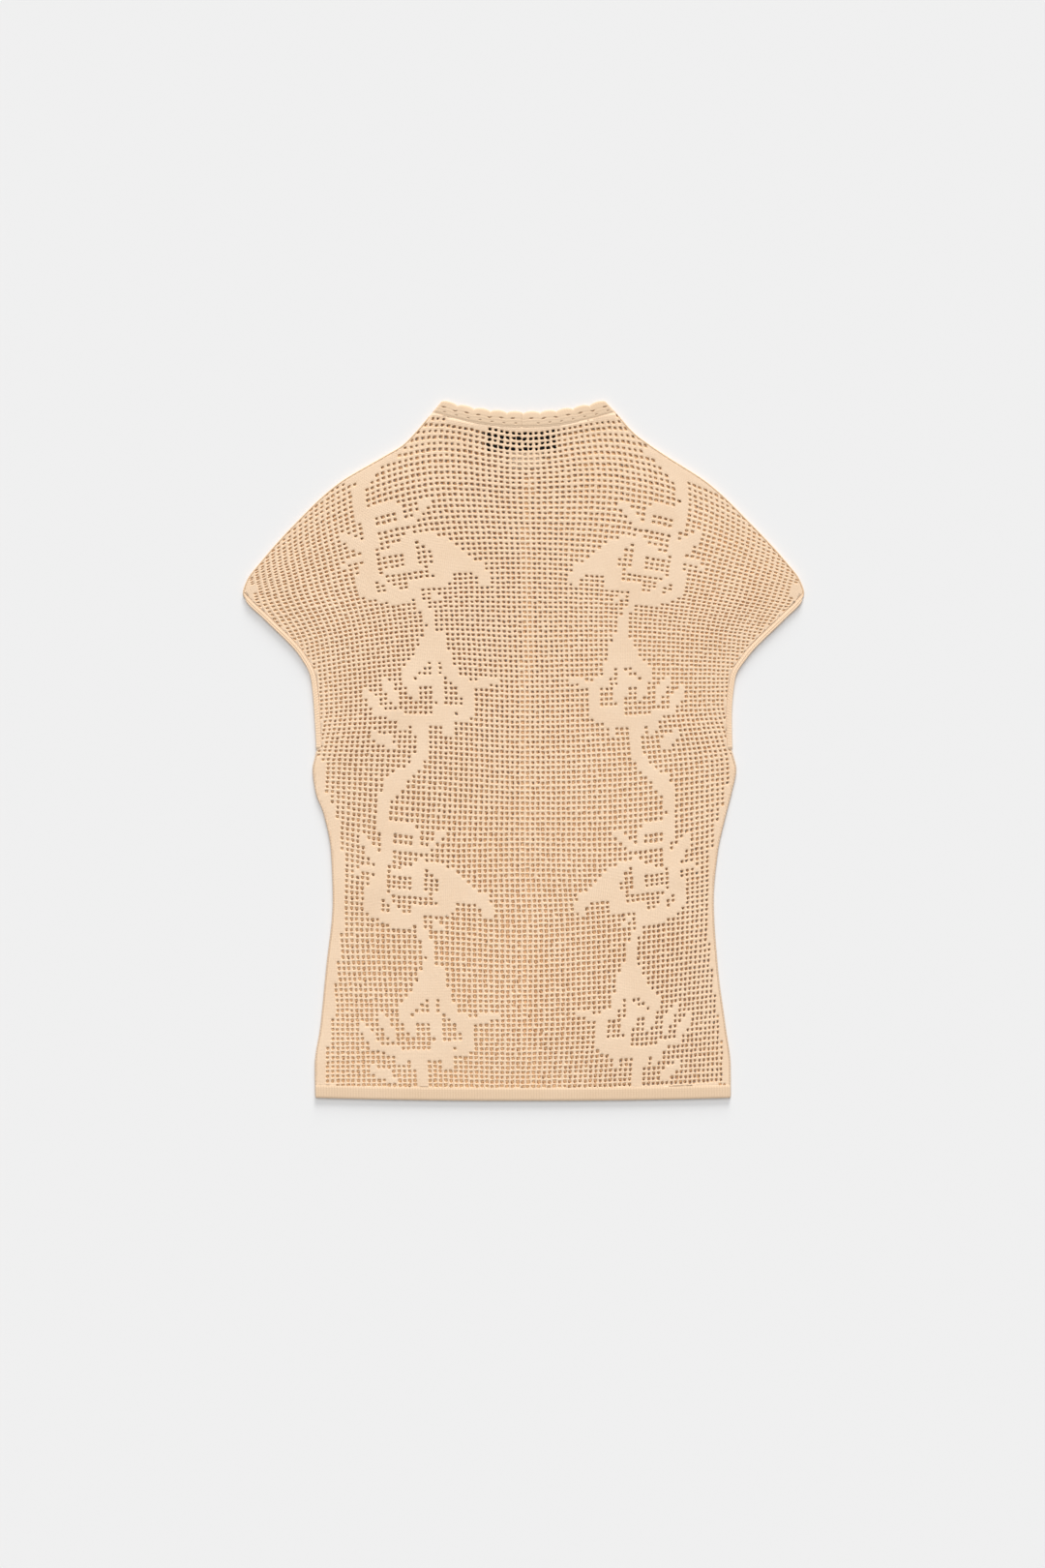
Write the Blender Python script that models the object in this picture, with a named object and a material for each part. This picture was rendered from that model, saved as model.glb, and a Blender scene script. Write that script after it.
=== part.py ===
"""Openwork knit top with cut-on cap sleeves, laid flat on its front.

The top is seen from straight above. +Z is up, +Y runs from hem to neck and +X to the viewer's right.
The front panel lies on the surface with a flat underside, and the back panel lies on it.
Tables and sizes are in millimetres. Heights in them are measured up the garment from the hem's lowest line.
"""
import math

import bmesh
import bpy
import numpy as np

MM = 0.001

# Driving sizes
TOTAL_LENGTH = 614.9
WALL = 1.6
SEAM_GAP = 0.3
LAYER = WALL + SEAM_GAP
EDGE_THICKNESS = 0.5
FOLD_ROUNDING = 0.7
HEM_BAND_WIDTH = 11.2
HEM_CORNER_LIFT = 2.5
HEM_LIFT_REACH = 60.0
SLEEVE_BAND_WIDTH = 5.0
UNDERARM_HEIGHT = 308.6
TIP_HEIGHT = 445.5
TIP_CUT_LOW, TIP_CUT_HIGH = 438.0, 447.0
SEAM_STATIONS = np.array([UNDERARM_HEIGHT, 324.0, 340.0, 356.0, 368.0, 378.0, 389.0, 401.0, 413.0, 425.0, 436.0])
SHIFT_TO_CENTRE = TOTAL_LENGTH / 2

# The laid outline, from the hem's corners up both sides, round the sleeve tips and over the shoulders.
OUTLINE = [
    # (place, height, left edge, right edge)
    ("hem corner", 0.0, -183.0, 182.2),
    ("hem", 31.0, -183.4, 182.0),
    ("hip", 65.5, -178.5, 177.6),
    ("low side", 116.5, -173.4, 170.9),
    ("waist", 176.0, -167.6, 167.2),
    ("high waist", 218.5, -169.2, 170.9),
    ("side", 252.5, -176.0, 178.5),
    ("below the bulge", 269.5, -182.5, 182.8),
    ("side bulge", 291.0, -185.3, 187.0),
    ("underarm", UNDERARM_HEIGHT, -182.2, 183.5),
    ("opening foot", 337.5, -183.6, 183.0),
    ("opening bend", 371.5, -187.0, 186.2),
    ("opening run", 388.5, -195.5, 196.4),
    ("opening", 422.5, -227.8, 229.5),
    ("below the tip", 438.5, -243.8, 244.6),
    ("sleeve tip", TIP_HEIGHT, -246.5, 246.5),
    ("above the tip", 456.5, -243.1, 243.1),
    ("sleeve top", 473.5, -230.4, 230.4),
    ("sleeve slope", 507.5, -199.8, 198.9),
    ("shoulder", 541.5, -163.2, 163.2),
    ("shoulder top", 565.3, -123.3, 126.7),
    ("neck root", 575.5, -106.3, 111.4),
    ("neck", 585.7, -96.0, 97.8),
    ("band foot", 604.4, -80.0, 81.0),
    ("band top", 613.2, -72.3, 72.3),
]
HEIGHTS = np.array([row[1] for row in OUTLINE])
LEFT_EDGE = np.array([row[2] for row in OUTLINE])
RIGHT_EDGE = np.array([row[3] for row in OUTLINE])

BAND_FOOT_HEIGHT = 604.4
BAND_TOP_HEIGHT = 613.2
FOOT_DIP = 13.6
TOP_DIP = 8.4
NECK_DIP_REACH = 90.0
SCALLOP_COUNT = 10
SCALLOP_RISE = 3.0
POINTS_IN_SCALLOP = 6

RIB_COUNT = 154
RIB_RISE = 0.35

# How the upper layer stands off the lower one: an even softness and a few low, broad folds.
SOFT_RISE = 0.9
SOFT_MARGIN = 55.0
FOLDS = [
    # (place, across, height, half length, half width, rise, turn in degrees)
    ("left underarm", -135.0, 330.0, 75.0, 13.0, 0.8, 38.0),
    ("right underarm", 138.0, 328.0, 75.0, 13.0, 0.8, -38.0),
    ("left waist", -118.0, 190.0, 60.0, 12.0, 0.6, 12.0),
    ("right waist", 122.0, 200.0, 65.0, 12.0, 0.6, -10.0),
    ("left sleeve", -190.0, 440.0, 45.0, 12.0, 0.6, -45.0),
    ("right sleeve", 192.0, 442.0, 45.0, 12.0, 0.6, 45.0),
    ("lower back", 12.0, 95.0, 70.0, 16.0, 0.5, 86.0),
]

LABEL_THICKNESS = 1.0
LABEL = {"left": -34.8, "right": 29.0, "low": 570.2, "high": 590.0}
SIZE_TAB = {"left": -12.0, "right": 17.0, "low": 554.6, "high": 569.9}
LABEL_MARGIN = 10.0
LABEL_FADE = 24.0
LABEL_LIFT = LABEL_THICKNESS + SEAM_GAP + 0.1

KNIT_COLOUR = (0.87, 0.645, 0.45, 1.0)
LABEL_COLOUR = (0.012, 0.011, 0.011, 1.0)
TAB_COLOUR = (0.80, 0.74, 0.66, 1.0)


def smooth_between(heights, values, at):
    """Smooth curve through the table's points that never overshoots them (monotone cubic Hermite)."""
    step = np.diff(heights)
    slope = np.diff(values) / step
    tangent = np.zeros_like(values)
    tangent[0], tangent[-1] = slope[0], slope[-1]
    same_way = slope[:-1] * slope[1:] > 0
    weight_a, weight_b = 2 * step[1:] + step[:-1], step[1:] + 2 * step[:-1]
    safe_a = np.where(same_way, slope[:-1], 1.0)
    safe_b = np.where(same_way, slope[1:], 1.0)
    harmonic = (weight_a + weight_b) / (weight_a / safe_a + weight_b / safe_b)
    tangent[1:-1] = np.where(same_way, harmonic, 0.0)
    at = np.clip(at, heights[0], heights[-1])
    k = np.clip(np.searchsorted(heights, at, side="right") - 1, 0, len(step) - 1)
    t = (at - heights[k]) / step[k]
    return (values[k] * (1 + 2 * t) * (1 - t) ** 2 + values[k + 1] * t * t * (3 - 2 * t)
            + step[k] * (tangent[k] * t * (1 - t) ** 2 + tangent[k + 1] * t * t * (t - 1)))


def left_edge(height):
    return smooth_between(HEIGHTS, LEFT_EDGE, height)


def right_edge(height):
    return smooth_between(HEIGHTS, RIGHT_EDGE, height)


def smooth_step(value):
    """Ease from 0 to 1 as value goes from 0 to 1."""
    t = np.clip(value, 0.0, 1.0)
    return t * t * (3 - 2 * t)


def hem_lift(share):
    """The hem's lowest line rises a little towards both corners. share runs from -1 to 1 across."""
    return HEM_CORNER_LIFT * np.abs(share) ** 2.2


def neck_dip(share):
    """The neck's lines hang lower at the centre. share runs from -1 to 1 across."""
    return 1 - share ** 2


def label_lift(across, height):
    """How far the label and the tab under it lift the upper layer, in mm."""
    gap_x = np.maximum(LABEL["left"] - across, across - LABEL["right"])
    gap_h = np.maximum(SIZE_TAB["low"] - height, height - LABEL["high"])
    away = np.maximum(np.maximum(gap_x, gap_h) - LABEL_MARGIN, 0.0)
    return LABEL_LIFT * (1 - smooth_step(away / LABEL_FADE))


def upper_relief(across, height):
    """Height of the upper layer above its lowest lie, in mm: softness, folds and the lift over the label."""
    from_side = np.minimum(across - left_edge(height), right_edge(height) - across)
    from_ends = np.minimum(height - HEM_BAND_WIDTH, BAND_FOOT_HEIGHT - FOOT_DIP - height)
    inside = smooth_step(from_side / SOFT_MARGIN) * smooth_step(from_ends / SOFT_MARGIN)
    waves = 1 + 0.3 * np.sin(across / 31.0 + 0.6) * np.sin(height / 47.0 + 1.1)
    relief = SOFT_RISE * inside * waves
    for _, fold_x, fold_h, half_length, half_width, rise, turn in FOLDS:
        c, s = math.cos(math.radians(turn)), math.sin(math.radians(turn))
        along = (across - fold_x) * c + (height - fold_h) * s
        beside = (height - fold_h) * c - (across - fold_x) * s
        ridge = np.exp(-(along / half_length) ** 2 - (beside / half_width) ** 2)
        relief = relief + rise * ridge * smooth_step(from_side / (SOFT_MARGIN / 3))
    return np.maximum(relief, label_lift(across, height))


def knit_material(name, colour, roughness):
    material = bpy.data.materials.new(name)
    material.use_nodes = True
    shader = material.node_tree.nodes["Principled BSDF"]
    shader.inputs["Base Color"].default_value = colour
    shader.inputs["Roughness"].default_value = roughness
    shader.inputs["Metallic"].default_value = 0.0
    return material


def loft(name, rings, closed, colour, collection, roughness=0.9):
    """Join rings of equal point counts into one closed solid.

    rings is (ring, point, xyz) in mm, with x across, y the height above the hem and z up. With closed
    the last ring joins the first, otherwise both ends are capped with a strip across the ring.
    """
    ring_count, point_count = rings.shape[:2]
    placed = rings.reshape(-1, 3) - np.array([0.0, SHIFT_TO_CENTRE, 0.0])
    mesh = bmesh.new()
    verts = [mesh.verts.new(point) for point in placed * MM]

    def vert(ring, point):
        return verts[(ring % ring_count) * point_count + point % point_count]

    for ring in range(ring_count if closed else ring_count - 1):
        for point in range(point_count):
            mesh.faces.new((vert(ring, point), vert(ring, point + 1),
                            vert(ring + 1, point + 1), vert(ring + 1, point)))
    if not closed:
        for ring in (0, ring_count - 1):
            for point in range(point_count // 2 - 1):
                mesh.faces.new((vert(ring, point), vert(ring, point + 1),
                                vert(ring, point_count - 2 - point), vert(ring, point_count - 1 - point)))
    bmesh.ops.recalc_face_normals(mesh, faces=mesh.faces)
    data = bpy.data.meshes.new(name)
    mesh.to_mesh(data)
    mesh.free()
    data.shade_smooth()
    data.set_sharp_from_angle(angle=math.radians(40))
    data.materials.append(knit_material(name + "_finish", colour, roughness))
    piece = bpy.data.objects.new(name, data)
    collection.objects.link(piece)
    return piece


def sleeve_opening(side):
    """Outer and inner lines of one sleeve band, from the underarm to the sleeve's tip, each (station, 2).

    The inner line lies the band's width inside the opening's edge, square to it, and its stations stand at
    SEAM_STATIONS. At the tip the band ends on the fold, so its last station runs along the outline itself.
    """
    edge = left_edge if side < 0 else right_edge
    nudge = 1.0
    heights = np.linspace(UNDERARM_HEIGHT, TIP_HEIGHT, 60)
    run = np.stack([edge(heights + nudge) - edge(heights - nudge), np.full_like(heights, 2 * nudge)], axis=1)
    run[0] = (0.0, 1.0)
    run /= np.linalg.norm(run, axis=1, keepdims=True)
    inner_line = np.stack([edge(heights), heights], axis=1) - side * SLEEVE_BAND_WIDTH * np.stack(
        [run[:, 1], -run[:, 0]], axis=1)
    at = np.interp(SEAM_STATIONS, inner_line[:, 1], heights)
    outer = np.stack([edge(at), at], axis=1)
    inner = np.stack([np.interp(SEAM_STATIONS, inner_line[:, 1], inner_line[:, 0]), SEAM_STATIONS], axis=1)
    outer = np.vstack([outer, [edge(TIP_CUT_LOW), TIP_CUT_LOW]])
    inner = np.vstack([inner, [edge(TIP_CUT_HIGH), TIP_CUT_HIGH]])
    return outer, inner


def panel_edges(height):
    """Left and right edges of a panel: the outline, set in behind the sleeve bands where they run."""
    edges = []
    for side, edge in ((-1, left_edge), (1, right_edge)):
        _, inner = sleeve_opening(side)
        behind = np.interp(height, inner[:, 1], inner[:, 0] - side * SEAM_GAP * 1.5)
        in_band = (height > UNDERARM_HEIGHT - 2 * SEAM_GAP) & (height < TIP_CUT_HIGH + 0.5 * SEAM_GAP)
        edges.append(np.where(in_band, behind, edge(height)))
    return edges


def panel_rows():
    """Heights of the panels' rows at their edges: even steps, and the sleeve bands' own stations."""
    even = np.linspace(HEM_BAND_WIDTH + SEAM_GAP, BAND_FOOT_HEIGHT - SEAM_GAP, 37)
    turns = [UNDERARM_HEIGHT - 3 * SEAM_GAP, UNDERARM_HEIGHT - SEAM_GAP, *SEAM_STATIONS[1:],
             TIP_CUT_HIGH, TIP_CUT_HIGH + 2 * SEAM_GAP]
    clear = [row for row in even if min(abs(row - turn) for turn in turns) > 7.0]
    return np.array(sorted(clear + turns))


def column_insets(width, inner_columns):
    """Distances of a row's points from its left edge: close at both rims, even between them."""
    rim = [0.0, 0.5, 1.7, 4.5]
    even = np.linspace(rim[-1], width - rim[-1], inner_columns + 2)[1:-1]
    return np.array(rim + list(even) + [width - inset for inset in rim[::-1]])


def panel(name, colour, collection, upper, inner_columns):
    """One panel: rows of points follow the hem's and the neck's curved lines, edges are rounded over."""
    rings = []
    for row in panel_rows():
        left, right = (float(edge) for edge in panel_edges(np.array(row)))
        width = right - left
        from_left = column_insets(width, inner_columns)
        across = left + from_left
        share = 2 * from_left / width - 1
        low_fade = 1 - smooth_step((row - HEM_BAND_WIDTH) / HEM_LIFT_REACH)
        high_fade = smooth_step(1 - (BAND_FOOT_HEIGHT - row) / NECK_DIP_REACH)
        height = row + hem_lift(share) * low_fade - FOOT_DIP * neck_dip(share) * high_fade
        inset = np.minimum(from_left, width - from_left)
        bulge = np.sqrt(1 - (1 - np.clip(inset / WALL, 0.0, 1.0)) ** 2)
        thickness = EDGE_THICKNESS + (WALL - EDGE_THICKNESS) * bulge
        if upper:
            underside = LAYER + upper_relief(across, height)
            top = underside + thickness
        else:
            top = np.full_like(across, WALL)
            underside = WALL - thickness
        upper_line = np.stack([across, height, top], axis=1)
        lower_line = np.stack([across, height, underside], axis=1)
        rings.append(np.vstack([upper_line, lower_line[::-1]]))
    return loft(name, np.array(rings), False, colour, collection)


def flat_ring(name, edge_a, edge_b, stations, levels, colour, collection, lift=None):
    """A narrow band that runs round a laid opening: a wall folded double, with a slit inside.

    edge_a and edge_b give (x, height) of the band's two edges at shares 0 to 1 of its laid length.
    stations are the shares of the points along it, without the two folds. levels is a list of
    (share of the band's width, rise above the wall) from edge a to edge b. lift(x, height) raises the
    upper wall, as what lies inside the band does.
    """
    length = float(np.linalg.norm(edge_a(np.array([1.0])) - edge_a(np.array([0.0]))))
    fold, round_off = WALL / length, FOLD_ROUNDING / length
    total = 2 * WALL + SEAM_GAP
    turned = fold + round_off
    outer_s = np.concatenate([[0.0], np.clip(stations, round_off, 1 - round_off), [1.0]])
    inner_s = np.concatenate([[fold], np.clip(stations, turned, 1 - turned), [1 - fold]])
    top_z = np.concatenate([[total - FOLD_ROUNDING], np.full(len(stations), total), [total - FOLD_ROUNDING]])
    low_z = total - top_z
    rings = []
    for s_outer, s_inner, outer_z, inner_z, rise_sign in (
            (outer_s, inner_s, top_z, LAYER, 1),
            (outer_s[::-1], inner_s[::-1], low_z[::-1], WALL, 0)):
        for k in range(len(s_outer)):
            a_out, b_out = edge_a(s_outer[k:k + 1])[0], edge_b(s_outer[k:k + 1])[0]
            a_in, b_in = edge_a(s_inner[k:k + 1])[0], edge_b(s_inner[k:k + 1])[0]
            ends = 0 < k < len(s_outer) - 1
            ring = [(*(a_out + share * (b_out - a_out)), outer_z[k] + rise * rise_sign * ends)
                    for share, rise in levels]
            ring += [(*b_in, inner_z), (*a_in, inner_z)]
            if lift and rise_sign:
                ring = [(x, height, z + float(lift(x, height))) for x, height, z in ring]
            rings.append(ring)
    return loft(name, np.array(rings), True, colour, collection)


def neckband(collection):
    """The scalloped funnel band. Its foot follows the panels' top line, its lobes stand on the top line."""
    def foot(share):
        ends = left_edge(BAND_FOOT_HEIGHT), right_edge(BAND_FOOT_HEIGHT)
        x = ends[0] + share * (ends[1] - ends[0])
        return np.stack([x, BAND_FOOT_HEIGHT - FOOT_DIP * neck_dip(2 * share - 1)], axis=1)

    def top(share):
        ends = left_edge(BAND_TOP_HEIGHT), right_edge(BAND_TOP_HEIGHT)
        x = ends[0] + share * (ends[1] - ends[0])
        lobe = SCALLOP_RISE * np.sqrt(np.abs(np.sin(math.pi * SCALLOP_COUNT * share)))
        return np.stack([x, BAND_TOP_HEIGHT - TOP_DIP * neck_dip(2 * share - 1) + lobe], axis=1)

    stations = np.linspace(0.0, 1.0, SCALLOP_COUNT * POINTS_IN_SCALLOP + 1)
    levels = [(0.0, -0.5), (0.18, 0.0), (0.93, 0.0), (1.0, -0.2)]
    return flat_ring("neckband", top, foot, stations, levels, KNIT_COLOUR, collection, lift=label_lift)


def sleeve_band(side, name, collection):
    """The narrow edging of one sleeve opening, with two raised lines along it."""
    outer, inner = sleeve_opening(side)
    steps = np.linalg.norm(np.diff(outer, axis=0), axis=1)
    share_at = np.concatenate([[0.0], np.cumsum(steps)]) / steps.sum()

    def line(points):
        return lambda share: np.stack([np.interp(share, share_at, points[:, 0]),
                                       np.interp(share, share_at, points[:, 1])], axis=1)

    levels = [(0.0, -0.5), (0.22, 0.2), (0.5, -0.2), (0.78, 0.2), (1.0, -0.2)]
    return flat_ring(name, line(outer), line(inner), share_at, levels, KNIT_COLOUR, collection)


def hem_band(name, upper, collection):
    """One stretch of the hem band. The upper one's ribs are raised in its outer points alone."""
    station_count = 2 * RIB_COUNT + 1 if upper else 25
    share = np.linspace(-1.0, 1.0, station_count)
    rib = RIB_RISE * (np.arange(station_count) % 2) if upper else np.zeros(station_count)
    low = hem_lift(share)
    rings = []
    for width_share, rise_share in ((0.0, 0.4), (0.5, 1.0), (1.0, 0.4)):
        height = low + width_share * HEM_BAND_WIDTH
        at = np.full_like(share, width_share * HEM_BAND_WIDTH)
        middle, half = (left_edge(at) + right_edge(at)) / 2, (right_edge(at) - left_edge(at)) / 2
        x = middle + share * half
        at_side = (np.arange(station_count) == 0) | (np.arange(station_count) == station_count - 1)
        round_off = FOLD_ROUNDING / 2 * (at_side | (width_share == 0.0))
        outer_z = LAYER + WALL - round_off + rib * rise_share if upper else round_off
        inner_z = np.full_like(x, LAYER if upper else WALL)
        rings.append((np.stack([x, height, outer_z], axis=1), np.stack([x, height, inner_z], axis=1)))
    outer_lines = [pair[0] for pair in rings]
    inner_lines = [pair[1] for pair in rings[::-1]]
    sections = np.stack(outer_lines + inner_lines, axis=1)
    return loft(name, sections, False, KNIT_COLOUR, collection)


def flat_tab(name, box, colour, collection):
    """A thin blank label that lies on the front panel, under the back panel."""
    middle_x, middle_h = (box["left"] + box["right"]) / 2, (box["low"] + box["high"]) / 2
    bpy.ops.mesh.primitive_cube_add(size=1.0, location=(0.0, 0.0, 0.0))
    tab = bpy.context.active_object
    tab.name = name
    tab.data.name = name
    size = (box["right"] - box["left"], box["high"] - box["low"], LABEL_THICKNESS)
    for vert in tab.data.vertices:
        vert.co = [part * extent * MM for part, extent in zip(vert.co, size)]
    tab.location = (middle_x * MM, (middle_h - SHIFT_TO_CENTRE) * MM, (LAYER + LABEL_THICKNESS / 2) * MM)
    tab.data.materials.append(knit_material(name + "_finish", colour, 0.7))
    for owner in list(tab.users_collection):
        owner.objects.unlink(tab)
    collection.objects.link(tab)
    return tab


def build():
    for old in list(bpy.data.objects):
        bpy.data.objects.remove(old, do_unlink=True)
    collection = bpy.data.collections.new("openwork_knit_top")
    bpy.context.scene.collection.children.link(collection)
    panel("front_panel", KNIT_COLOUR, collection, upper=False, inner_columns=10)
    panel("back_panel", KNIT_COLOUR, collection, upper=True, inner_columns=22)
    hem_band("hem_band_front", False, collection)
    hem_band("hem_band_back", True, collection)
    sleeve_band(-1, "left_sleeve_band", collection)
    sleeve_band(1, "right_sleeve_band", collection)
    neckband(collection)
    flat_tab("neck_label", LABEL, LABEL_COLOUR, collection)
    flat_tab("size_tab", SIZE_TAB, TAB_COLOUR, collection)


build()
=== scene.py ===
# %% [markdown]
# # An openwork knit top, laid flat
# This lesson dresses the construction model of a short knitted top. The top lies on its front, so that its
# back is uppermost, and the camera looks straight down on it. The real cloth is a net: thousands of small
# square holes between knitted bars, with two garlands of flowers where the holes are knitted shut.
# Nearly everything below is a surface worked out with numpy, because a net is one small cell repeated on a
# map that bends it.

# %% Load the construction model
import math

import bpy
import numpy as np
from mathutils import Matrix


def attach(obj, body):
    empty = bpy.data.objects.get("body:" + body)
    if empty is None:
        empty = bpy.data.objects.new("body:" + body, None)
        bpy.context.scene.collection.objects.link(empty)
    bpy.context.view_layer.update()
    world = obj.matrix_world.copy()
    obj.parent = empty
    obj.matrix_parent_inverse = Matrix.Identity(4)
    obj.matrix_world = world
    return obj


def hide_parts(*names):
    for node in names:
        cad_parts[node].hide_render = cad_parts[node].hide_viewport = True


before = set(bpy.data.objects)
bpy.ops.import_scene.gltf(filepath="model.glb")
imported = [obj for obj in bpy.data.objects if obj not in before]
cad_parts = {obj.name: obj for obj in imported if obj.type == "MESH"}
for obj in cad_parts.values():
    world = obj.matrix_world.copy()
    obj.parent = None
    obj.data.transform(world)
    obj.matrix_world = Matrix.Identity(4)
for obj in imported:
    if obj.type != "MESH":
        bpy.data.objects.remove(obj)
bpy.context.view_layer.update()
print("nodes:", sorted(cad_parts))

# %% [markdown]
# ## Measures
# Tables and sizes are in millimetres. "Across" runs to the right and "height" runs up the garment from the
# hem's lowest line. Only the last step, when points go into a mesh, turns them into metres in the frame.

# %% Driving sizes, repeated from the construction model
MM = 0.001
TOTAL_LENGTH = 614.9
WALL = 1.6
SEAM_GAP = 0.3
LAYER = WALL + SEAM_GAP
HEM_BAND_WIDTH = 11.2
HEM_CORNER_LIFT = 2.5
HEM_LIFT_POWER = 2.2
SLEEVE_BAND_WIDTH = 5.0
UNDERARM_HEIGHT = 308.6
TIP_HEIGHT = 445.5
TIP_CUT_LOW = 438.0
TIP_CUT_HIGH = 447.0
BAND_FOOT_HEIGHT = 604.4
BAND_TOP_HEIGHT = 613.2
FOOT_DIP = 13.6
SCALLOP_COUNT = 10
RIB_COUNT = 154

OUTLINE = [
    # (place, height, left edge, right edge)
    ("hem corner", 0.0, -183.0, 182.2),
    ("hem", 31.0, -183.4, 182.0),
    ("hip", 65.5, -178.5, 177.6),
    ("low side", 116.5, -173.4, 170.9),
    ("waist", 176.0, -167.6, 167.2),
    ("high waist", 218.5, -169.2, 170.9),
    ("side", 252.5, -176.0, 178.5),
    ("below the bulge", 269.5, -182.5, 182.8),
    ("side bulge", 291.0, -185.3, 187.0),
    ("underarm", UNDERARM_HEIGHT, -182.2, 183.5),
    ("opening foot", 337.5, -183.6, 183.0),
    ("opening bend", 371.5, -187.0, 186.2),
    ("opening run", 388.5, -195.5, 196.4),
    ("opening", 422.5, -227.8, 229.5),
    ("below the tip", 438.5, -243.8, 244.6),
    ("sleeve tip", TIP_HEIGHT, -246.5, 246.5),
    ("above the tip", 456.5, -243.1, 243.1),
    ("sleeve top", 473.5, -230.4, 230.4),
    ("sleeve slope", 507.5, -199.8, 198.9),
    ("shoulder", 541.5, -163.2, 163.2),
    ("shoulder top", 565.3, -123.3, 126.7),
    ("neck root", 575.5, -106.3, 111.4),
    ("neck", 585.7, -96.0, 97.8),
    ("band foot", 604.4, -80.0, 81.0),
    ("band top", 613.2, -72.3, 72.3),
]
print("outline:", len(OUTLINE), "stations, widest", max(right - left for *_, left, right in OUTLINE), "mm")


# %% The outline as smooth curves
def smooth_between(places, values, at):
    """Smooth curve through a table: a monotone cubic in each span, straight on past both ends."""
    step = np.diff(places)
    slope = np.diff(values) / step
    same_way = slope[:-1] * slope[1:] > 0
    weight_a, weight_b = 2 * step[1:] + step[:-1], step[1:] + 2 * step[:-1]
    safe_a = np.where(same_way, slope[:-1], 1.0)
    safe_b = np.where(same_way, slope[1:], 1.0)
    harmonic = (weight_a + weight_b) / (weight_a / safe_a + weight_b / safe_b)
    tangent = np.concatenate([slope[:1], np.where(same_way, harmonic, 0.0), slope[-1:]])
    inside = np.clip(at, places[0], places[-1])
    k = np.clip(np.searchsorted(places, inside, side="right") - 1, 0, len(step) - 1)
    t = (inside - places[k]) / step[k]
    curve = (values[k] * (1 + 2 * t) * (1 - t) ** 2 + values[k + 1] * t * t * (3 - 2 * t)
             + step[k] * (tangent[k] * t * (1 - t) ** 2 + tangent[k + 1] * t * t * (t - 1)))
    return curve + (at - inside) * np.where(at < places[0], slope[0], slope[-1])


EDGE_HEIGHTS = np.array([row[1] for row in OUTLINE])
EDGE_SIDES = {-1: np.array([row[2] for row in OUTLINE]), 1: np.array([row[3] for row in OUTLINE])}


def edge(side, height):
    """The laid outline's left (-1) or right (1) edge at a height."""
    return smooth_between(EDGE_HEIGHTS, EDGE_SIDES[side], np.clip(height, 0.0, BAND_TOP_HEIGHT))


def side_distance(across, height):
    """Distance across to the nearer side of the laid outline."""
    return np.minimum(across - edge(-1, height), edge(1, height) - across)


def smooth_step(value):
    """Ease from 0 to 1 as value goes from 0 to 1."""
    t = np.clip(value, 0.0, 1.0)
    return t * t * (3 - 2 * t)


def hem_lift(share):
    """The hem's lines rise towards both corners, as a power of the share -1 to 1 across."""
    return HEM_CORNER_LIFT * np.abs(share) ** HEM_LIFT_POWER


def neck_dip(share):
    """The neck's lines hang as a parabola, lowest at the middle of the share -1 to 1 across."""
    return 1 - np.clip(share, -1.0, 1.0) ** 2


print("chest:", round(float(edge(1, 291.0) - edge(-1, 291.0)), 1), "mm")

# %% [markdown]
# ## How the cloth lies
# The front rests flat on the surface and the back lies on it. Soft knit never lies dead flat, so the back
# stands off by about a millimetre in the middle, has a few long shallow folds, and is lifted by the label
# that is sewn inside the neck. These are the same folds that the construction model has.

# %% Folds and softness of the upper layer
SOFT_RISE = 0.9
SOFT_MARGIN = 55.0
SWAY_SHARE = 0.3
SWAY_ACROSS, SWAY_ACROSS_START = 31.0, 0.6
SWAY_UP, SWAY_UP_START = 47.0, 1.1
FOLDS = [
    # (place, across, height, half length, half width, rise, turn in degrees)
    ("left underarm", -135.0, 330.0, 75.0, 13.0, 0.8, 38.0),
    ("right underarm", 138.0, 328.0, 75.0, 13.0, 0.8, -38.0),
    ("left waist", -118.0, 190.0, 60.0, 12.0, 0.6, 12.0),
    ("right waist", 122.0, 200.0, 65.0, 12.0, 0.6, -10.0),
    ("left sleeve", -190.0, 440.0, 45.0, 12.0, 0.6, -45.0),
    ("right sleeve", 192.0, 442.0, 45.0, 12.0, 0.6, 45.0),
    ("lower back", 12.0, 95.0, 70.0, 16.0, 0.5, 86.0),
]
LABEL = {"left": -34.8, "right": 29.0, "low": 570.2, "high": 590.0}
SIZE_TAB = {"left": -12.0, "right": 17.0, "low": 554.6, "high": 569.9}
LABEL_THICKNESS = 1.0
LABEL_MARGIN = 10.0
LABEL_FADE = 24.0
LABEL_LIFT = LABEL_THICKNESS + SEAM_GAP + 0.1


def label_lift(across, height):
    """How far the label and the tab under it lift the upper layer: full over them, eased out around."""
    gap_x = np.maximum(LABEL["left"] - across, across - LABEL["right"])
    gap_h = np.maximum(SIZE_TAB["low"] - height, height - LABEL["high"])
    away = np.maximum(np.maximum(gap_x, gap_h) - LABEL_MARGIN, 0.0)
    return LABEL_LIFT * (1 - smooth_step(away / LABEL_FADE))


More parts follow.
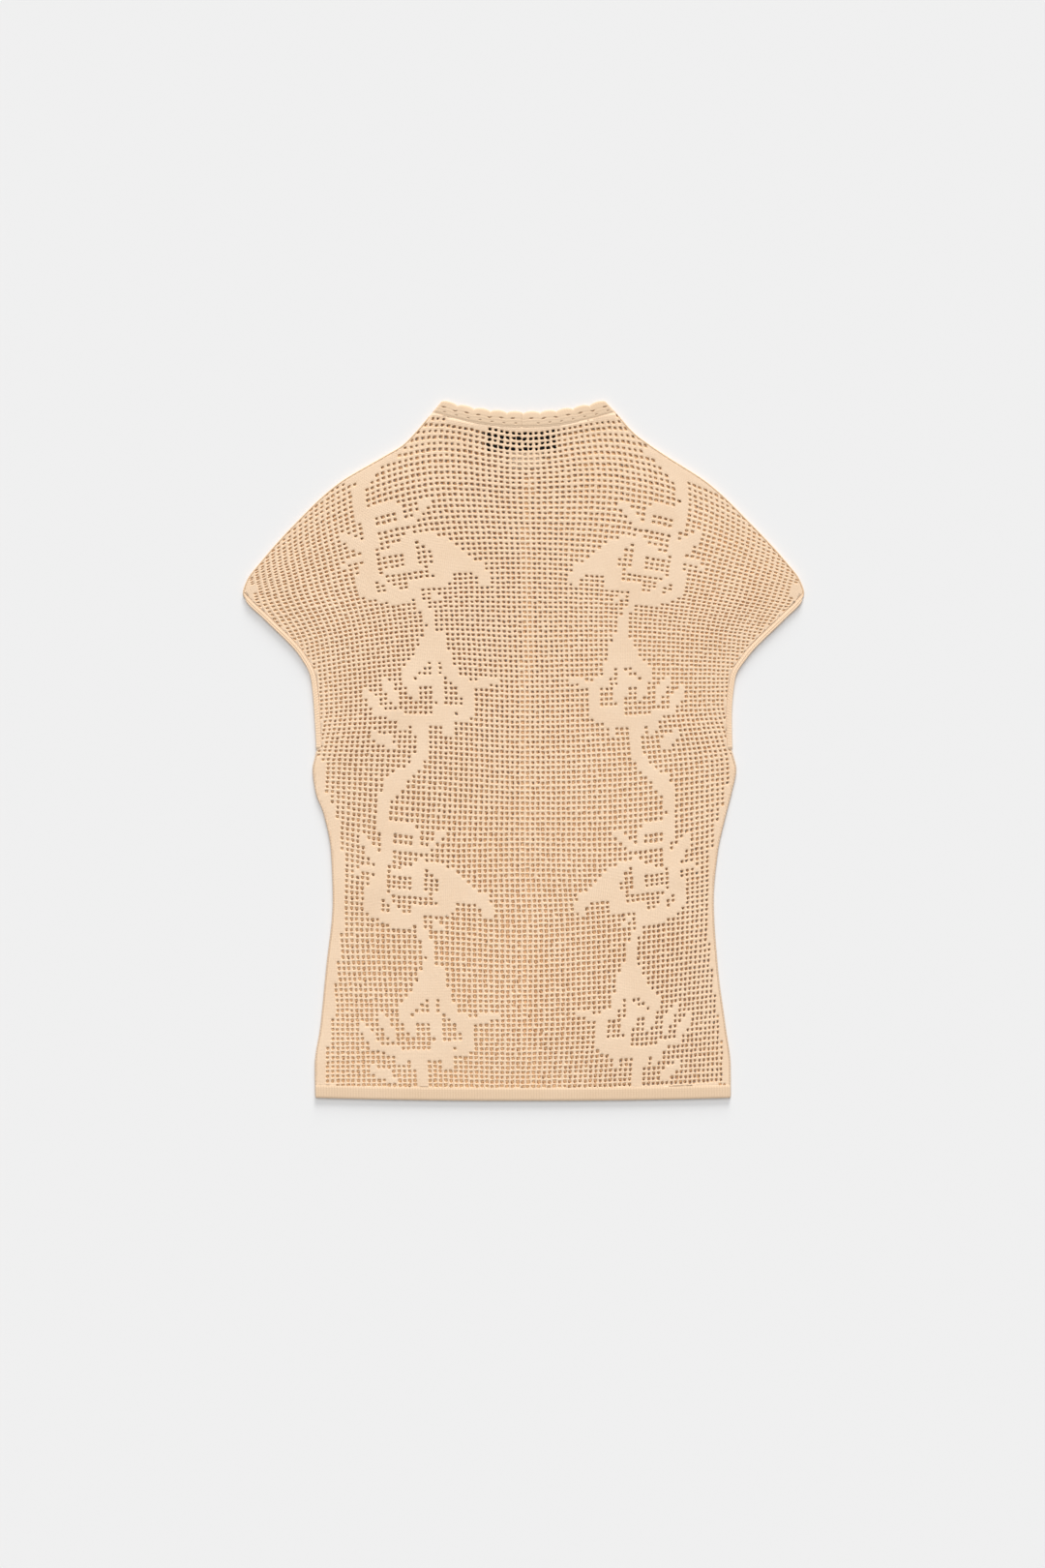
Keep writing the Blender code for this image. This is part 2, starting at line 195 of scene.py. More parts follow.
def upper_relief(across, height):
    """Rise of the upper layer: broad softness that fades to the edges, plus one bell ridge for each fold."""
    from_side = side_distance(across, height)
    from_ends = np.minimum(height - HEM_BAND_WIDTH, BAND_FOOT_HEIGHT - FOOT_DIP - height)
    inside = smooth_step(from_side / SOFT_MARGIN) * smooth_step(from_ends / SOFT_MARGIN)
    sway = SWAY_SHARE * np.sin(across / SWAY_ACROSS + SWAY_ACROSS_START)
    relief = SOFT_RISE * inside * (1 + sway * np.sin(height / SWAY_UP + SWAY_UP_START))
    for _, fold_x, fold_h, half_length, half_width, rise, turn in FOLDS:
        c, s = math.cos(math.radians(turn)), math.sin(math.radians(turn))
        along = (across - fold_x) * c + (height - fold_h) * s
        beside = (height - fold_h) * c - (across - fold_x) * s
        ridge = np.exp(-(along / half_length) ** 2 - (beside / half_width) ** 2)
        relief = relief + rise * ridge * smooth_step(from_side / (SOFT_MARGIN / 3))
    return np.maximum(relief, label_lift(across, height))


print("folds:", len(FOLDS), "rise over the label:", round(LABEL_LIFT, 2), "mm")

# %% [markdown]
# ## The lie of the net
# A hole has a column number and a row number, counted from the bottom of the middle. The cloth was shaped
# and stretched as it was laid, so columns spread towards the shoulders and rows droop over the sleeves.
# The table gives that lie at a few rows: how high the row is at the middle, how far it rises half way out
# and at the side, and where columns 40, 20 and 0 stand. Everything between is a smooth curve.

# %% The map from column and row to a place on the cloth
NET_LIE = np.array([
    # row, height, rise mid left, rise end left, mid right, end right, column -40, -20, 0, 20, 40
    (0, 16.2, 1.4, 0.6, 2.0, 7.7, -181.0, -90.7, -0.7, 88.9, 169.3),
    (15, 78.5, 0.5, 0.3, 4.5, 16.0, -180.0, -93.3, 1.2, 92.7, 171.5),
    (30, 143.8, 4.2, 6.5, 5.9, 18.8, -186.4, -95.6, 1.2, 92.8, 176.5),
    (45, 211.0, -0.4, 16.7, 0.4, 17.5, -187.0, -94.5, -0.9, 89.3, 179.3),
    (60, 278.7, 4.9, 9.4, 2.6, 13.7, -186.4, -91.6, -1.0, 89.3, 179.2),
    (75, 345.3, 3.9, -3.1, 2.9, 6.3, -177.3, -90.2, -0.9, 85.4, 166.5),
    (90, 411.4, 1.5, -13.9, 0.4, -7.7, -181.0, -93.8, -3.1, 85.2, 168.8),
    (105, 475.6, -3.1, -22.9, -5.4, -23.2, -202.4, -100.8, -4.7, 88.7, 182.8),
    (120, 541.6, 3.5, -35.4, 0.9, -31.9, -210.3, -112.0, -8.7, 96.9, 193.5),
    (126, 567.0, 9.0, -36.0, 6.0, -33.0, -210.0, -114.0, -8.7, 93.0, 192.0),
    (133, 599.0, 17.0, 20.0, 14.0, 20.0, -188.0, -103.0, -8.5, 85.0, 172.0),
])
COLUMN_STEP = 20.0
MID_REACH = 85.0
END_REACH = 2.2
CELL_WIDTH = 4.6
CELL_HEIGHT = 4.4


def net_lie(column, row):
    """Place of a point of the net: across is a parabola of the column. A row's rise is a smooth cubic from
    the middle to half way out, a parabola on to the side, and straight past that."""
    height, mid_l, end_l, mid_r, end_r, x_l40, x_l20, x_0, x_r20, x_r40 = (
        smooth_between(NET_LIE[:, 0], measure, row) for measure in NET_LIE[:, 1:].T)
    steps = np.abs(column) / COLUMN_STEP
    near = np.where(column < 0, x_l20, x_r20) - x_0
    far = np.where(column < 0, x_l40, x_r40) - x_0
    across = x_0 + steps * (2 * near - far / 2) + steps ** 2 * (far / 2 - near)
    reach = np.abs(across) / MID_REACH
    held = np.minimum(reach, END_REACH)
    rise_mid = np.where(across < 0, mid_l, mid_r)
    mid = rise_mid / (END_REACH - 1)
    end = np.where(across < 0, end_l, end_r) / (END_REACH * (END_REACH - 1))
    outer = mid * held * (END_REACH - held) + end * held * (held - 1)
    beyond = (reach - held) * (end * (2 * END_REACH - 1) - mid * END_REACH)
    t = np.minimum(reach, 1.0)
    slope_0 = np.where(across < 0, -1, 1) * (mid_r - mid_l) / 2
    slope_1 = mid * (END_REACH - 2) + end
    inner = rise_mid * t * t * (3 - 2 * t) + slope_0 * t * (1 - t) ** 2 + slope_1 * t * t * (t - 1)
    return across, height + np.where(reach < 1, inner, outer + beyond)


print("middle of row 60:", [round(float(c), 1) for c in net_lie(np.array(0.0), np.array(60.0))])

# %% [markdown]
# ## The flower chart
# Filet knitting draws a picture by shutting holes. A charted flower is easier to change when it is drawn
# as a few brush strokes, each a middle line with a width, than as a grid of filled squares. A hole whose
# centre lies inside any stroke is knitted shut. One garland of two flowers repeats every 66 rows, and its
# mirror image runs up the other side.

# %% Brush strokes of one repeat
GARLAND = [
    # (part, its middle line as column, row, half width)
    ("upper stem", [(-19.8, 64.0, 1.0), (-21.3, 61.8, 1.2), (-24.4, 58.8, 1.6), (-26.3, 55.5, 1.2),
                    (-26.5, 52.5, 1.0), (-25.6, 49.6, 1.3), (-25.4, 47.0, 0.9), (-25.6, 44.5, 0.9)]),
    ("arch", [(-25.0, 50.5, 0.9), (-23.0, 50.8, 0.9), (-20.9, 50.4, 0.85), (-20.1, 49.2, 0.6),
              (-19.9, 47.2, 0.6)]),
    ("arch foot", [(-24.4, 47.1, 0.4), (-22.0, 47.0, 0.5), (-19.8, 47.0, 0.5)]),
    ("arch leaf", [(-19.8, 47.0, 0.6), (-17.8, 47.2, 0.7), (-16.4, 48.6, 0.7), (-15.0, 50.2, 0.6)]),
    ("outer leaf", [(-30.2, 48.2, 0.5), (-29.2, 46.8, 0.9), (-28.3, 45.2, 1.2), (-27.4, 43.8, 0.8)]),
    ("left barb", [(-26.5, 42.3, 0.8), (-29.4, 41.9, 0.7), (-31.6, 41.3, 0.4)]),
    ("left petal", [(-25.8, 44.2, 0.9), (-26.6, 42.4, 1.3), (-26.9, 40.2, 1.0), (-27.5, 38.0, 1.8),
                    (-28.1, 36.2, 1.5), (-28.1, 34.6, 1.1), (-26.6, 33.0, 1.0), (-24.2, 32.0, 1.2),
                    (-21.4, 31.8, 1.2), (-19.6, 32.6, 0.9)]),
    ("petal fold", [(-25.6, 37.2, 0.8), (-24.5, 35.6, 0.6), (-23.9, 34.2, 0.9), (-22.4, 33.0, 0.9)]),
    ("petal roof", [(-24.2, 41.7, 0.5), (-22.4, 42.4, 0.8), (-20.2, 43.0, 0.9)]),
    ("petal vein", [(-24.0, 38.4, 0.6), (-21.0, 38.1, 0.8), (-18.2, 38.0, 0.7)]),
    ("inner petal", [(-19.3, 44.0, 0.7), (-19.3, 41.0, 0.8), (-19.4, 38.4, 0.9)]),
    ("right petal", [(-19.0, 44.6, 0.6), (-16.2, 43.6, 0.9), (-14.0, 41.8, 1.8), (-13.0, 39.6, 2.5),
                     (-11.4, 38.7, 2.2), (-9.4, 37.7, 1.5), (-7.4, 37.1, 1.3), (-6.6, 35.4, 1.0),
                     (-6.4, 34.0, 0.6)]),
    ("petal lobe", [(-14.6, 37.4, 1.6), (-14.2, 35.2, 1.3), (-13.9, 33.8, 0.8)]),
    ("cup", [(-19.8, 34.5, 0.8), (-17.4, 34.7, 0.8), (-15.0, 34.8, 0.9)]),
    ("cup drop", [(-16.6, 32.4, 0.5), (-15.4, 31.0, 0.5)]),
    ("lower stem", [(-19.6, 33.0, 0.8), (-19.2, 31.0, 0.7), (-18.0, 28.6, 0.9), (-17.3, 26.6, 0.8),
                    (-17.2, 25.0, 0.7)]),
    ("bell", [(-17.3, 90.6, 0.8), (-17.1, 88.4, 1.2), (-17.0, 86.2, 2.7), (-17.0, 85.3, 2.5)]),
    ("bell leaf", [(-16.4, 89.2, 0.5), (-15.0, 89.0, 0.5)]),
    ("bell left", [(-18.8, 84.8, 1.7), (-20.6, 83.0, 1.6), (-22.2, 81.4, 1.3), (-22.3, 79.8, 1.1),
                   (-21.6, 78.2, 1.1), (-20.9, 76.8, 0.9)]),
    ("bell right", [(-15.2, 84.9, 1.6), (-14.4, 82.9, 1.2), (-13.8, 81.2, 1.2), (-13.2, 79.7, 0.9),
                    (-11.8, 79.3, 0.8)]),
    ("bell middle", [(-16.8, 82.6, 0.5), (-16.8, 80.4, 0.9), (-16.6, 77.6, 1.3), (-16.3, 75.8, 0.9)]),
    ("heart", [(-20.3, 79.6, 0.7), (-18.6, 79.9, 1.0), (-17.2, 79.9, 1.2)]),
    ("rim petal", [(-11.4, 79.7, 0.9), (-10.9, 77.6, 1.2), (-10.7, 75.6, 1.1), (-10.8, 73.8, 1.3),
                   (-11.8, 72.4, 1.1)]),
    ("right leaf", [(-10.2, 79.0, 0.8), (-8.6, 79.2, 0.8), (-6.8, 79.9, 0.8), (-5.2, 80.3, 0.5)]),
    ("basin front", [(-16.2, 73.4, 1.1), (-14.4, 73.2, 1.2), (-13.2, 74.1, 0.7), (-11.0, 73.8, 1.2)]),
    ("basin", [(-14.2, 71.6, 1.3), (-16.0, 71.9, 1.3), (-18.2, 71.2, 0.9), (-20.0, 71.2, 1.1),
               (-19.8, 69.0, 1.2), (-19.1, 67.0, 1.1), (-19.2, 65.0, 0.9), (-20.0, 63.4, 1.0)]),
    ("basin drop", [(-14.2, 71.4, 1.1), (-14.4, 69.6, 0.9)]),
    ("basin leaf", [(-20.8, 71.2, 0.9), (-22.4, 71.4, 0.8), (-24.2, 72.3, 0.8), (-26.4, 73.0, 0.9),
                    (-28.6, 73.3, 0.7)]),
    ("leaf drop", [(-24.0, 72.2, 0.7), (-23.7, 70.6, 0.7), (-23.5, 69.4, 0.6)]),
    ("upper outer leaf", [(-27.4, 80.2, 0.6), (-26.9, 79.0, 0.9), (-25.9, 77.4, 0.9), (-25.3, 75.6, 0.7)]),
    ("middle outer leaf", [(-30.8, 77.6, 0.6), (-29.9, 76.4, 1.0), (-29.2, 75.0, 1.0), (-28.4, 73.8, 0.8)]),
    ("lower outer leaf", [(-29.0, 68.6, 0.6), (-27.6, 67.8, 0.9), (-26.4, 67.0, 1.1), (-25.6, 66.2, 0.8)]),
]
REPEAT_ROWS = 66
MIRROR_FROM = 2
MIRROR_SUM = 4.7
MIRROR_SQUEEZE = 0.92
FAR = 99.0


def stroke_distance(column, row, line):
    """Distance in cells to a stroke: to the nearest point of each straight piece, less its half width."""
    best = np.full(np.shape(column), FAR)
    for (u0, v0, r0), (u1, v1, r1) in zip(line[:-1], line[1:]):
        du, dv = u1 - u0, v1 - v0
        t = np.clip(((column - u0) * du + (row - v0) * dv) / (du * du + dv * dv), 0.0, 1.0)
        away = np.hypot(column - u0 - t * du, row - v0 - t * dv) - (r0 + t * (r1 - r0))
        best = np.minimum(best, away)
    return best


def garland_distance(column, row):
    """Distance in cells to the nearest stroke of either garland. Below zero is inside a stroke."""
    own = np.where(column < MIRROR_FROM, column, (MIRROR_SUM - column) / MIRROR_SQUEEZE)
    best = np.full(np.shape(column), FAR)
    for shift in (-REPEAT_ROWS, 0, REPEAT_ROWS):
        for _, line in GARLAND:
            best = np.minimum(best, stroke_distance(own, row + shift, line))
    return best


print("strokes in a repeat:", len(GARLAND))

# %% [markdown]
# ## From arrays to a mesh
# Two helpers put every shape below into Blender. One welds points that fall on the same spot, drops faces
# that this flattens, and writes the arrays into a mesh. The other lists the faces of a grid.

# %% Mesh helpers
WELD = 0.004


def to_frame(points):
    """Millimetres up from the hem to metres in the frame, whose middle is half way up the garment."""
    return (points - np.array([0.0, TOTAL_LENGTH / 2, 0.0])) * MM


def mesh_piece(name, points, faces, cell_uv, depth, material, nodes=(), crisp_faces=0, facing=None):
    """Write triangles or quads into a mesh. The fifth argument, from 0 to 1, is each point's share of painted
    shade.
    The last crisp_faces of the faces are shaded flat, so that they don't tilt the shading beside them.
    facing gives the shading direction of each point, and zeros leave a point's own."""
    spots = np.round(points / WELD).astype(np.int64)
    _, first, weld = np.unique(spots, axis=0, return_index=True, return_inverse=True)
    weld = weld.reshape(-1)
    triangles = weld[np.stack([faces[:, [0, k, k + 1]] for k in range(1, faces.shape[1] - 1)], axis=1)]
    crisp = np.repeat(np.arange(len(faces)) >= len(faces) - crisp_faces, triangles.shape[1])
    triangles = triangles.reshape(-1, 3)
    a, b, c = triangles.T
    whole = (a != b) & (b != c) & (a != c)
    triangles, crisp = triangles[whole], crisp[whole]
    used, flat = np.unique(triangles, return_inverse=True)
    source = first[used]
    corners = flat.reshape(-1)
    mesh = bpy.data.meshes.new(name)
    mesh.vertices.add(len(source))
    mesh.vertices.foreach_set("co", to_frame(points[source]).ravel())
    mesh.loops.add(len(corners))
    mesh.loops.foreach_set("vertex_index", corners.astype(np.int32))
    mesh.polygons.add(len(triangles))
    mesh.polygons.foreach_set("loop_start", np.arange(0, len(corners), 3, dtype=np.int32))
    mesh.update(calc_edges=True)
    mesh.shade_smooth()
    if crisp.any():
        mesh.attributes.new("sharp_face", "BOOLEAN", "FACE").data.foreach_set("value", crisp)
    if facing is not None:
        mesh.normals_split_custom_set_from_vertices(facing[source])
    layer = mesh.uv_layers.new(name="cells")
    layer.data.foreach_set("uv", cell_uv[source][corners].astype(np.float32).ravel())
    attribute = mesh.attributes.new("depth", "FLOAT", "POINT")
    attribute.data.foreach_set("value", depth[source].astype(np.float32))
    mesh.materials.append(material)
    piece = bpy.data.objects.new(name, mesh)
    bpy.context.scene.collection.objects.link(piece)
    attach(piece, "root")
    if nodes:
        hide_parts(*nodes)
    print(f"{name}: {len(triangles)} triangles")
    return piece


def grid_quads(rows, columns, wrap_rows=False, wrap_columns=False):
    """Corner numbers of a grid's quads, counted row by row, with either way closed into a ring."""
    r, c = np.meshgrid(np.arange(rows - (not wrap_rows)), np.arange(columns - (not wrap_columns)),
                       indexing="ij")
    r1, c1 = (r + 1) % rows, (c + 1) % columns
    corners = [r * columns + c, r * columns + c1, r1 * columns + c1, r1 * columns + c]
    return np.stack(corners, axis=-1).reshape(-1, 4)


print("quads of a ring of five by three points:", len(grid_quads(5, 3, True)))

# %% [markdown]
# ## Yarn
# The yarn is a matt cotton in pale peach. Three things make it read as yarn and not as plastic: a soft
# sheen at glancing angles, colour that drifts a little from bar to bar, and a painted deeper, warmer tone
# where the bars turn down into the holes, which stands in for shade and for light bounced between the layers.
# The knitted stitches are a bump on the cell numbers, which each mesh carries as its own map, so they
# follow the cloth.


# %% Node helpers
class Nodes:
    """A short way to add and join shader nodes."""

    def __init__(self, name):
        self.material = bpy.data.materials.new(name)
        self.material.use_nodes = True
        self.tree = self.material.node_tree
        self.shader = self.tree.nodes["Principled BSDF"]

    def add(self, kind, settings=None, **inputs):
        node = self.tree.nodes.new(kind)
        for key, value in (settings or {}).items():
            setattr(node, key, value)
        for key, value in inputs.items():
            self.put(node.inputs[int(key[1:]) if key[1:].isdigit() else key], value)
        return node

    def put(self, socket, value):
        if isinstance(value, bpy.types.NodeSocket):
            self.tree.links.new(value, socket)
        else:
            socket.default_value = value

    def math(self, operation, a, b=0.0):
        return self.add("ShaderNodeMath", {"operation": operation}, _0=a, _1=b).outputs[0]

    def noise(self, coordinates, scale, detail=2.0):
        node = self.add("ShaderNodeTexNoise", Vector=coordinates, Scale=scale, Detail=detail)
        return node.outputs["Fac"]

    def mix(self, factor, a, b):
        node = self.add("ShaderNodeMix", {"data_type": "RGBA"})
        self.put(node.inputs["Factor"], factor)
        self.put(node.inputs[6], a)
        self.put(node.inputs[7], b)
        return node.outputs[2]

    def range(self, value, low, high):
        return self.add("ShaderNodeMapRange", _0=value, _1=low, _2=high, _3=0.0, _4=1.0).outputs[0]


print("node helpers:", [name for name in vars(Nodes) if not name.startswith("_")])

# %% The yarn materials
PEACH = (0.815, 0.600, 0.415, 1.0)
PEACH_LIGHT = (0.860, 0.655, 0.470, 1.0)
# Painted warm shade, mixed in where the bars turn into the holes and on their undersides.
PEACH_PAINTED_WARM_SHADE = (0.960, 0.560, 0.250, 1.0)
# The front's yarn is painted warmer than the back's, for light that has passed through the back's yarn.
FRONT_PAINTED_WARMTH = (0.890, 0.585, 0.310, 1.0)
FRONT_PAINTED_WARMTH_LIGHT = (0.930, 0.635, 0.370, 1.0)
# Painted shade: neck eyelets, groove and join, hem rib valleys, the bands' inner faces and the side links.
BAND_PAINTED_SHADE = (0.260, 0.145, 0.070, 1.0)
BAND = (0.735, 0.540, 0.365, 1.0)
BAND_LIGHT = (0.770, 0.575, 0.400, 1.0)
DRIFT_SCALE, DRIFT_SHARE = 26.0, 0.55
FUZZ_SCALE, FUZZ_SHARE = 620.0, 0.45
FUZZ_DETAIL = 3.0
LEG_RISE = 2.2


def yarn(name, low_tone, high_tone, painted_shade_tone, stitches_across, stitches_up, bump, painted_shade_share):
    """Peach yarn: a tone from broad drift and fine fuzz, mixed towards a painted shade tone by each point's
    shade weight, with V stitches.
    A stitch's height is the sine of its course, which climbs along both legs of the V."""
    n = Nodes(name)
    place = n.add("ShaderNodeTexCoord").outputs["Object"]
    drift = n.noise(place, DRIFT_SCALE)
    fuzz = n.noise(place, FUZZ_SCALE, FUZZ_DETAIL)
    tone = n.math("ADD", n.math("MULTIPLY", drift, DRIFT_SHARE), n.math("MULTIPLY", fuzz, FUZZ_SHARE))
    colour = n.mix(n.range(tone, 0.35, 0.65), low_tone, high_tone)
    depth = n.add("ShaderNodeAttribute", {"attribute_name": "depth"}).outputs["Fac"]
    colour = n.mix(n.math("MULTIPLY", depth, painted_shade_share), colour, painted_shade_tone)
    n.put(n.shader.inputs["Base Color"], colour)
    n.shader.inputs["Roughness"].default_value = 0.88
    n.shader.inputs["Specular IOR Level"].default_value = 0.25
    n.shader.inputs["Sheen Weight"].default_value = 0.25
    n.shader.inputs["Sheen Roughness"].default_value = 0.55
    cells = n.add("ShaderNodeUVMap", {"uv_map": "cells"}).outputs[0]
    split = n.add("ShaderNodeSeparateXYZ", Vector=cells)
    leg = n.math("ABSOLUTE", n.math("SINE", n.math("MULTIPLY", split.outputs[0], stitches_across * math.pi)))
    course = n.math("MULTIPLY", split.outputs[1], stitches_up * 2 * math.pi)
    climb = n.math("ADD", course, n.math("MULTIPLY", leg, LEG_RISE))
    stitch = n.math("MULTIPLY", leg, n.math("ADD", n.math("SINE", climb), LEG_RISE))
    height = n.math("ADD", n.math("MULTIPLY", stitch, 0.3), fuzz)
    relief = n.add("ShaderNodeBump", Strength=bump, Distance=0.0004, Height=height)
    n.put(n.shader.inputs["Normal"], relief.outputs[0])
    return n.material


NET_YARN = yarn("peach_net_yarn", PEACH, PEACH_LIGHT, PEACH_PAINTED_WARM_SHADE, 3.0, 3.5, 0.5, 0.6)
FRONT_YARN = yarn("peach_net_yarn_below_painted_warmth", FRONT_PAINTED_WARMTH, FRONT_PAINTED_WARMTH_LIGHT, PEACH_PAINTED_WARM_SHADE, 3.0, 3.5, 0.5, 0.5)
BAND_YARN = yarn("peach_band_yarn", BAND, BAND_LIGHT, BAND_PAINTED_SHADE, 1.0, 1.0, 0.2, 0.6)
EDGE_YARN = yarn("peach_edging_yarn", PEACH, PEACH_LIGHT, PEACH_PAINTED_WARM_SHADE, 1.0, 1.0, 0.5, 0.5)
SEAM_YARN = yarn("peach_seam_yarn", PEACH, PEACH_LIGHT, BAND_PAINTED_SHADE, 1.0, 1.0, 0.5, 0.45)
# Painted shade: the shoulder links take the darker band tone as their base, dimming where the low lamp
# catches them.
SHOULDER_PAINTED_SHADE_YARN = yarn("peach_shoulder_yarn_painted_shade", BAND, BAND_LIGHT, PEACH_PAINTED_WARM_SHADE, 1.0, 1.0, 0.5, 0.5)
print("materials:", NET_YARN.name, FRONT_YARN.name, BAND_YARN.name)

# %% [markdown]
# ## The panels' outline
# A knitted panel is shaped by dropping columns along its sides, so the net ends in part cells there. Here
# the net's grid is laid over the whole outline first, and points that fall outside it are moved to the
# nearest point of the panel's rim. The part cells then follow the rim exactly.

# %% The panels' outline
EDGE_INSET = 0.6
EDGING_LAP = 0.1
END_LAP = 0.25
EDGING_TOP_CLEAR = 6.0
EDGING_TIP_CLEAR = 1.0
RIM_STEP = 0.5
BATCHES = 40
SLEEVE_POINTS = 60


def sleeve_lines(side):
    """Outer and inner line of a sleeve band: the outline, and that line moved in square to itself."""
    heights = np.linspace(UNDERARM_HEIGHT, TIP_HEIGHT, SLEEVE_POINTS)
    run = np.stack([edge(side, heights + 1) - edge(side, heights - 1), np.full(SLEEVE_POINTS, 2.0)], axis=1)
    run[0] = (0.0, 1.0)
    run /= np.linalg.norm(run, axis=1, keepdims=True)
    outer = np.stack([edge(side, heights), heights], axis=1)
    inner = outer - side * SLEEVE_BAND_WIDTH * np.stack([run[:, 1], -run[:, 0]], axis=1)
    keep = (inner[:, 1] < TIP_CUT_HIGH - EDGING_TOP_CLEAR) & (outer[:, 1] < TIP_CUT_LOW - EDGING_TIP_CLEAR)
    outer = np.vstack([outer[keep], [edge(side, TIP_CUT_LOW), TIP_CUT_LOW]])
    inner = np.vstack([inner[keep], [edge(side, TIP_CUT_HIGH), TIP_CUT_HIGH]])
    return outer, inner


def panel_edge(side, height):
    """A panel's side: just inside the outline, and behind the sleeve band where that runs."""
    _, inner = sleeve_lines(side)
    behind = np.interp(height, inner[:, 1], inner[:, 0] + side * EDGING_LAP)
    in_band = (height > UNDERARM_HEIGHT - SEAM_GAP) & (height < TIP_CUT_HIGH)
    return np.where(in_band, behind, edge(side, height) - side * EDGE_INSET)


def hem_line(across):
    """Lower end of a panel, just under the hem band's upper edge."""
    return HEM_BAND_WIDTH - END_LAP + hem_lift(across / edge(1, 0.0))


def neck_line(across):
    """Upper end of a panel, just under the neckband's foot."""
    return BAND_FOOT_HEIGHT + END_LAP - FOOT_DIP * neck_dip(across / edge(1, BAND_FOOT_HEIGHT))


def panel_rim():
    """The panel's outline as closely set points: both sides, the hem end and the neck end."""
    heights = np.arange(HEM_BAND_WIDTH, BAND_FOOT_HEIGHT, RIM_STEP)
    sides = [np.stack([panel_edge(side, heights), heights], axis=1) for side in (-1, 1)]
    ends = []
    for line, at_height in ((hem_line, HEM_BAND_WIDTH), (neck_line, BAND_FOOT_HEIGHT)):
        across = np.arange(float(panel_edge(-1, at_height)), float(panel_edge(1, at_height)), RIM_STEP)
        ends.append(np.stack([across, line(across)], axis=1))
    return np.vstack(sides + ends)


def onto_panel(across, height):
    """Points beyond the panel move to the nearest point of its outline, and the others stay.
    The third array is true where a point has moved."""
    rim = panel_rim()
    beyond = (across < panel_edge(-1, height)) | (across > panel_edge(1, height))
    beyond |= (height < hem_line(across)) | (height > neck_line(across))
    stray = np.stack([across[beyond], height[beyond]], axis=1)
    nearest = np.concatenate([((part[:, None] - rim) ** 2).sum(-1).argmin(1)
                              for part in np.array_split(stray, BATCHES)])
    placed = np.stack([across, height], axis=-1)
    placed[beyond] = rim[nearest]
    return placed[..., 0], placed[..., 1], beyond


def net_grid(columns, rows, lie):
    """Half-step grid of the net's points, laid by a map and trimmed to the panel."""
    column, row = np.meshgrid(np.arange(columns[0] - 0.5, columns[1] + 0.75, 0.5),
                              np.arange(rows[0] - 0.5, rows[1] + 0.75, 0.5))
    return column, row, *onto_panel(*lie(column, row))


print("points round the panel:", len(panel_rim()))

# %% [markdown]
# ## One cell of net
# Neighbouring holes share the bar between them, so the bars' middle lines are a grid of points at half
# cell steps. Inside that frame of eight points lies a ring on the bar's shoulder and a ring round the
# hole at mid thickness. Quads between the rings make a rounded bar, and as neighbours use the same
# points, the whole net is one skin. A shut cell is a fan of eight triangles on each side.

# %% The cells of a net and their outer walls
RING = [(0, 0), (0, 1), (0, 2), (1, 2), (2, 2), (2, 1), (2, 0), (1, 0)]
ROUND = len(RING)
SIDE_STARTS = {"down": 0, "right": 2, "up": 4, "left": 6}


def cell_numbers(shape):
    """Numbers of the eight points round each cell, and of its middle point, in the half-step grid."""
    base = np.arange(shape[0] * shape[1]).reshape(shape)[:-2:2, :-2:2]
    return np.stack([base + up * shape[1] + right for up, right in RING], axis=-1), base + shape[1] + 1


def outer_walls(frame_points, live, total):
    """Upright quads, two for each side of a live cell that has no live neighbour there."""
    padded = np.pad(live, 1)
    beside = {"down": padded[:-2, 1:-1], "up": padded[2:, 1:-1],
              "left": padded[1:-1, :-2], "right": padded[1:-1, 2:]}
    walls = []
    for side, start_at in SIDE_STARTS.items():
        bare = frame_points[live & ~beside[side]]
        for k in (start_at, start_at + 1):
            a, b = bare[:, k], bare[:, (k + 1) % ROUND]
            walls.append(np.stack([a, total + a, total + b, b], axis=-1))
    return np.vstack(walls)


print("points round a cell:", ROUND)

# %% One stretch of net
SLIVER = 0.06
FULL_CELL = CELL_WIDTH * CELL_HEIGHT
CORNER_PULL = 0.80
BAR_ROUND = 0.80
BAR_SHARE, HOLE_SHARE = 0.45, 0.55
# Each point's share of painted shade: on the bar's shoulder, on the underside and at the hole's rim.
BAR_SHOULDER_PAINTED_SHADE, UNDERSIDE_PAINTED_SHADE, HOLE_RIM_PAINTED_SHADE = 0.2, 0.7, 1.0


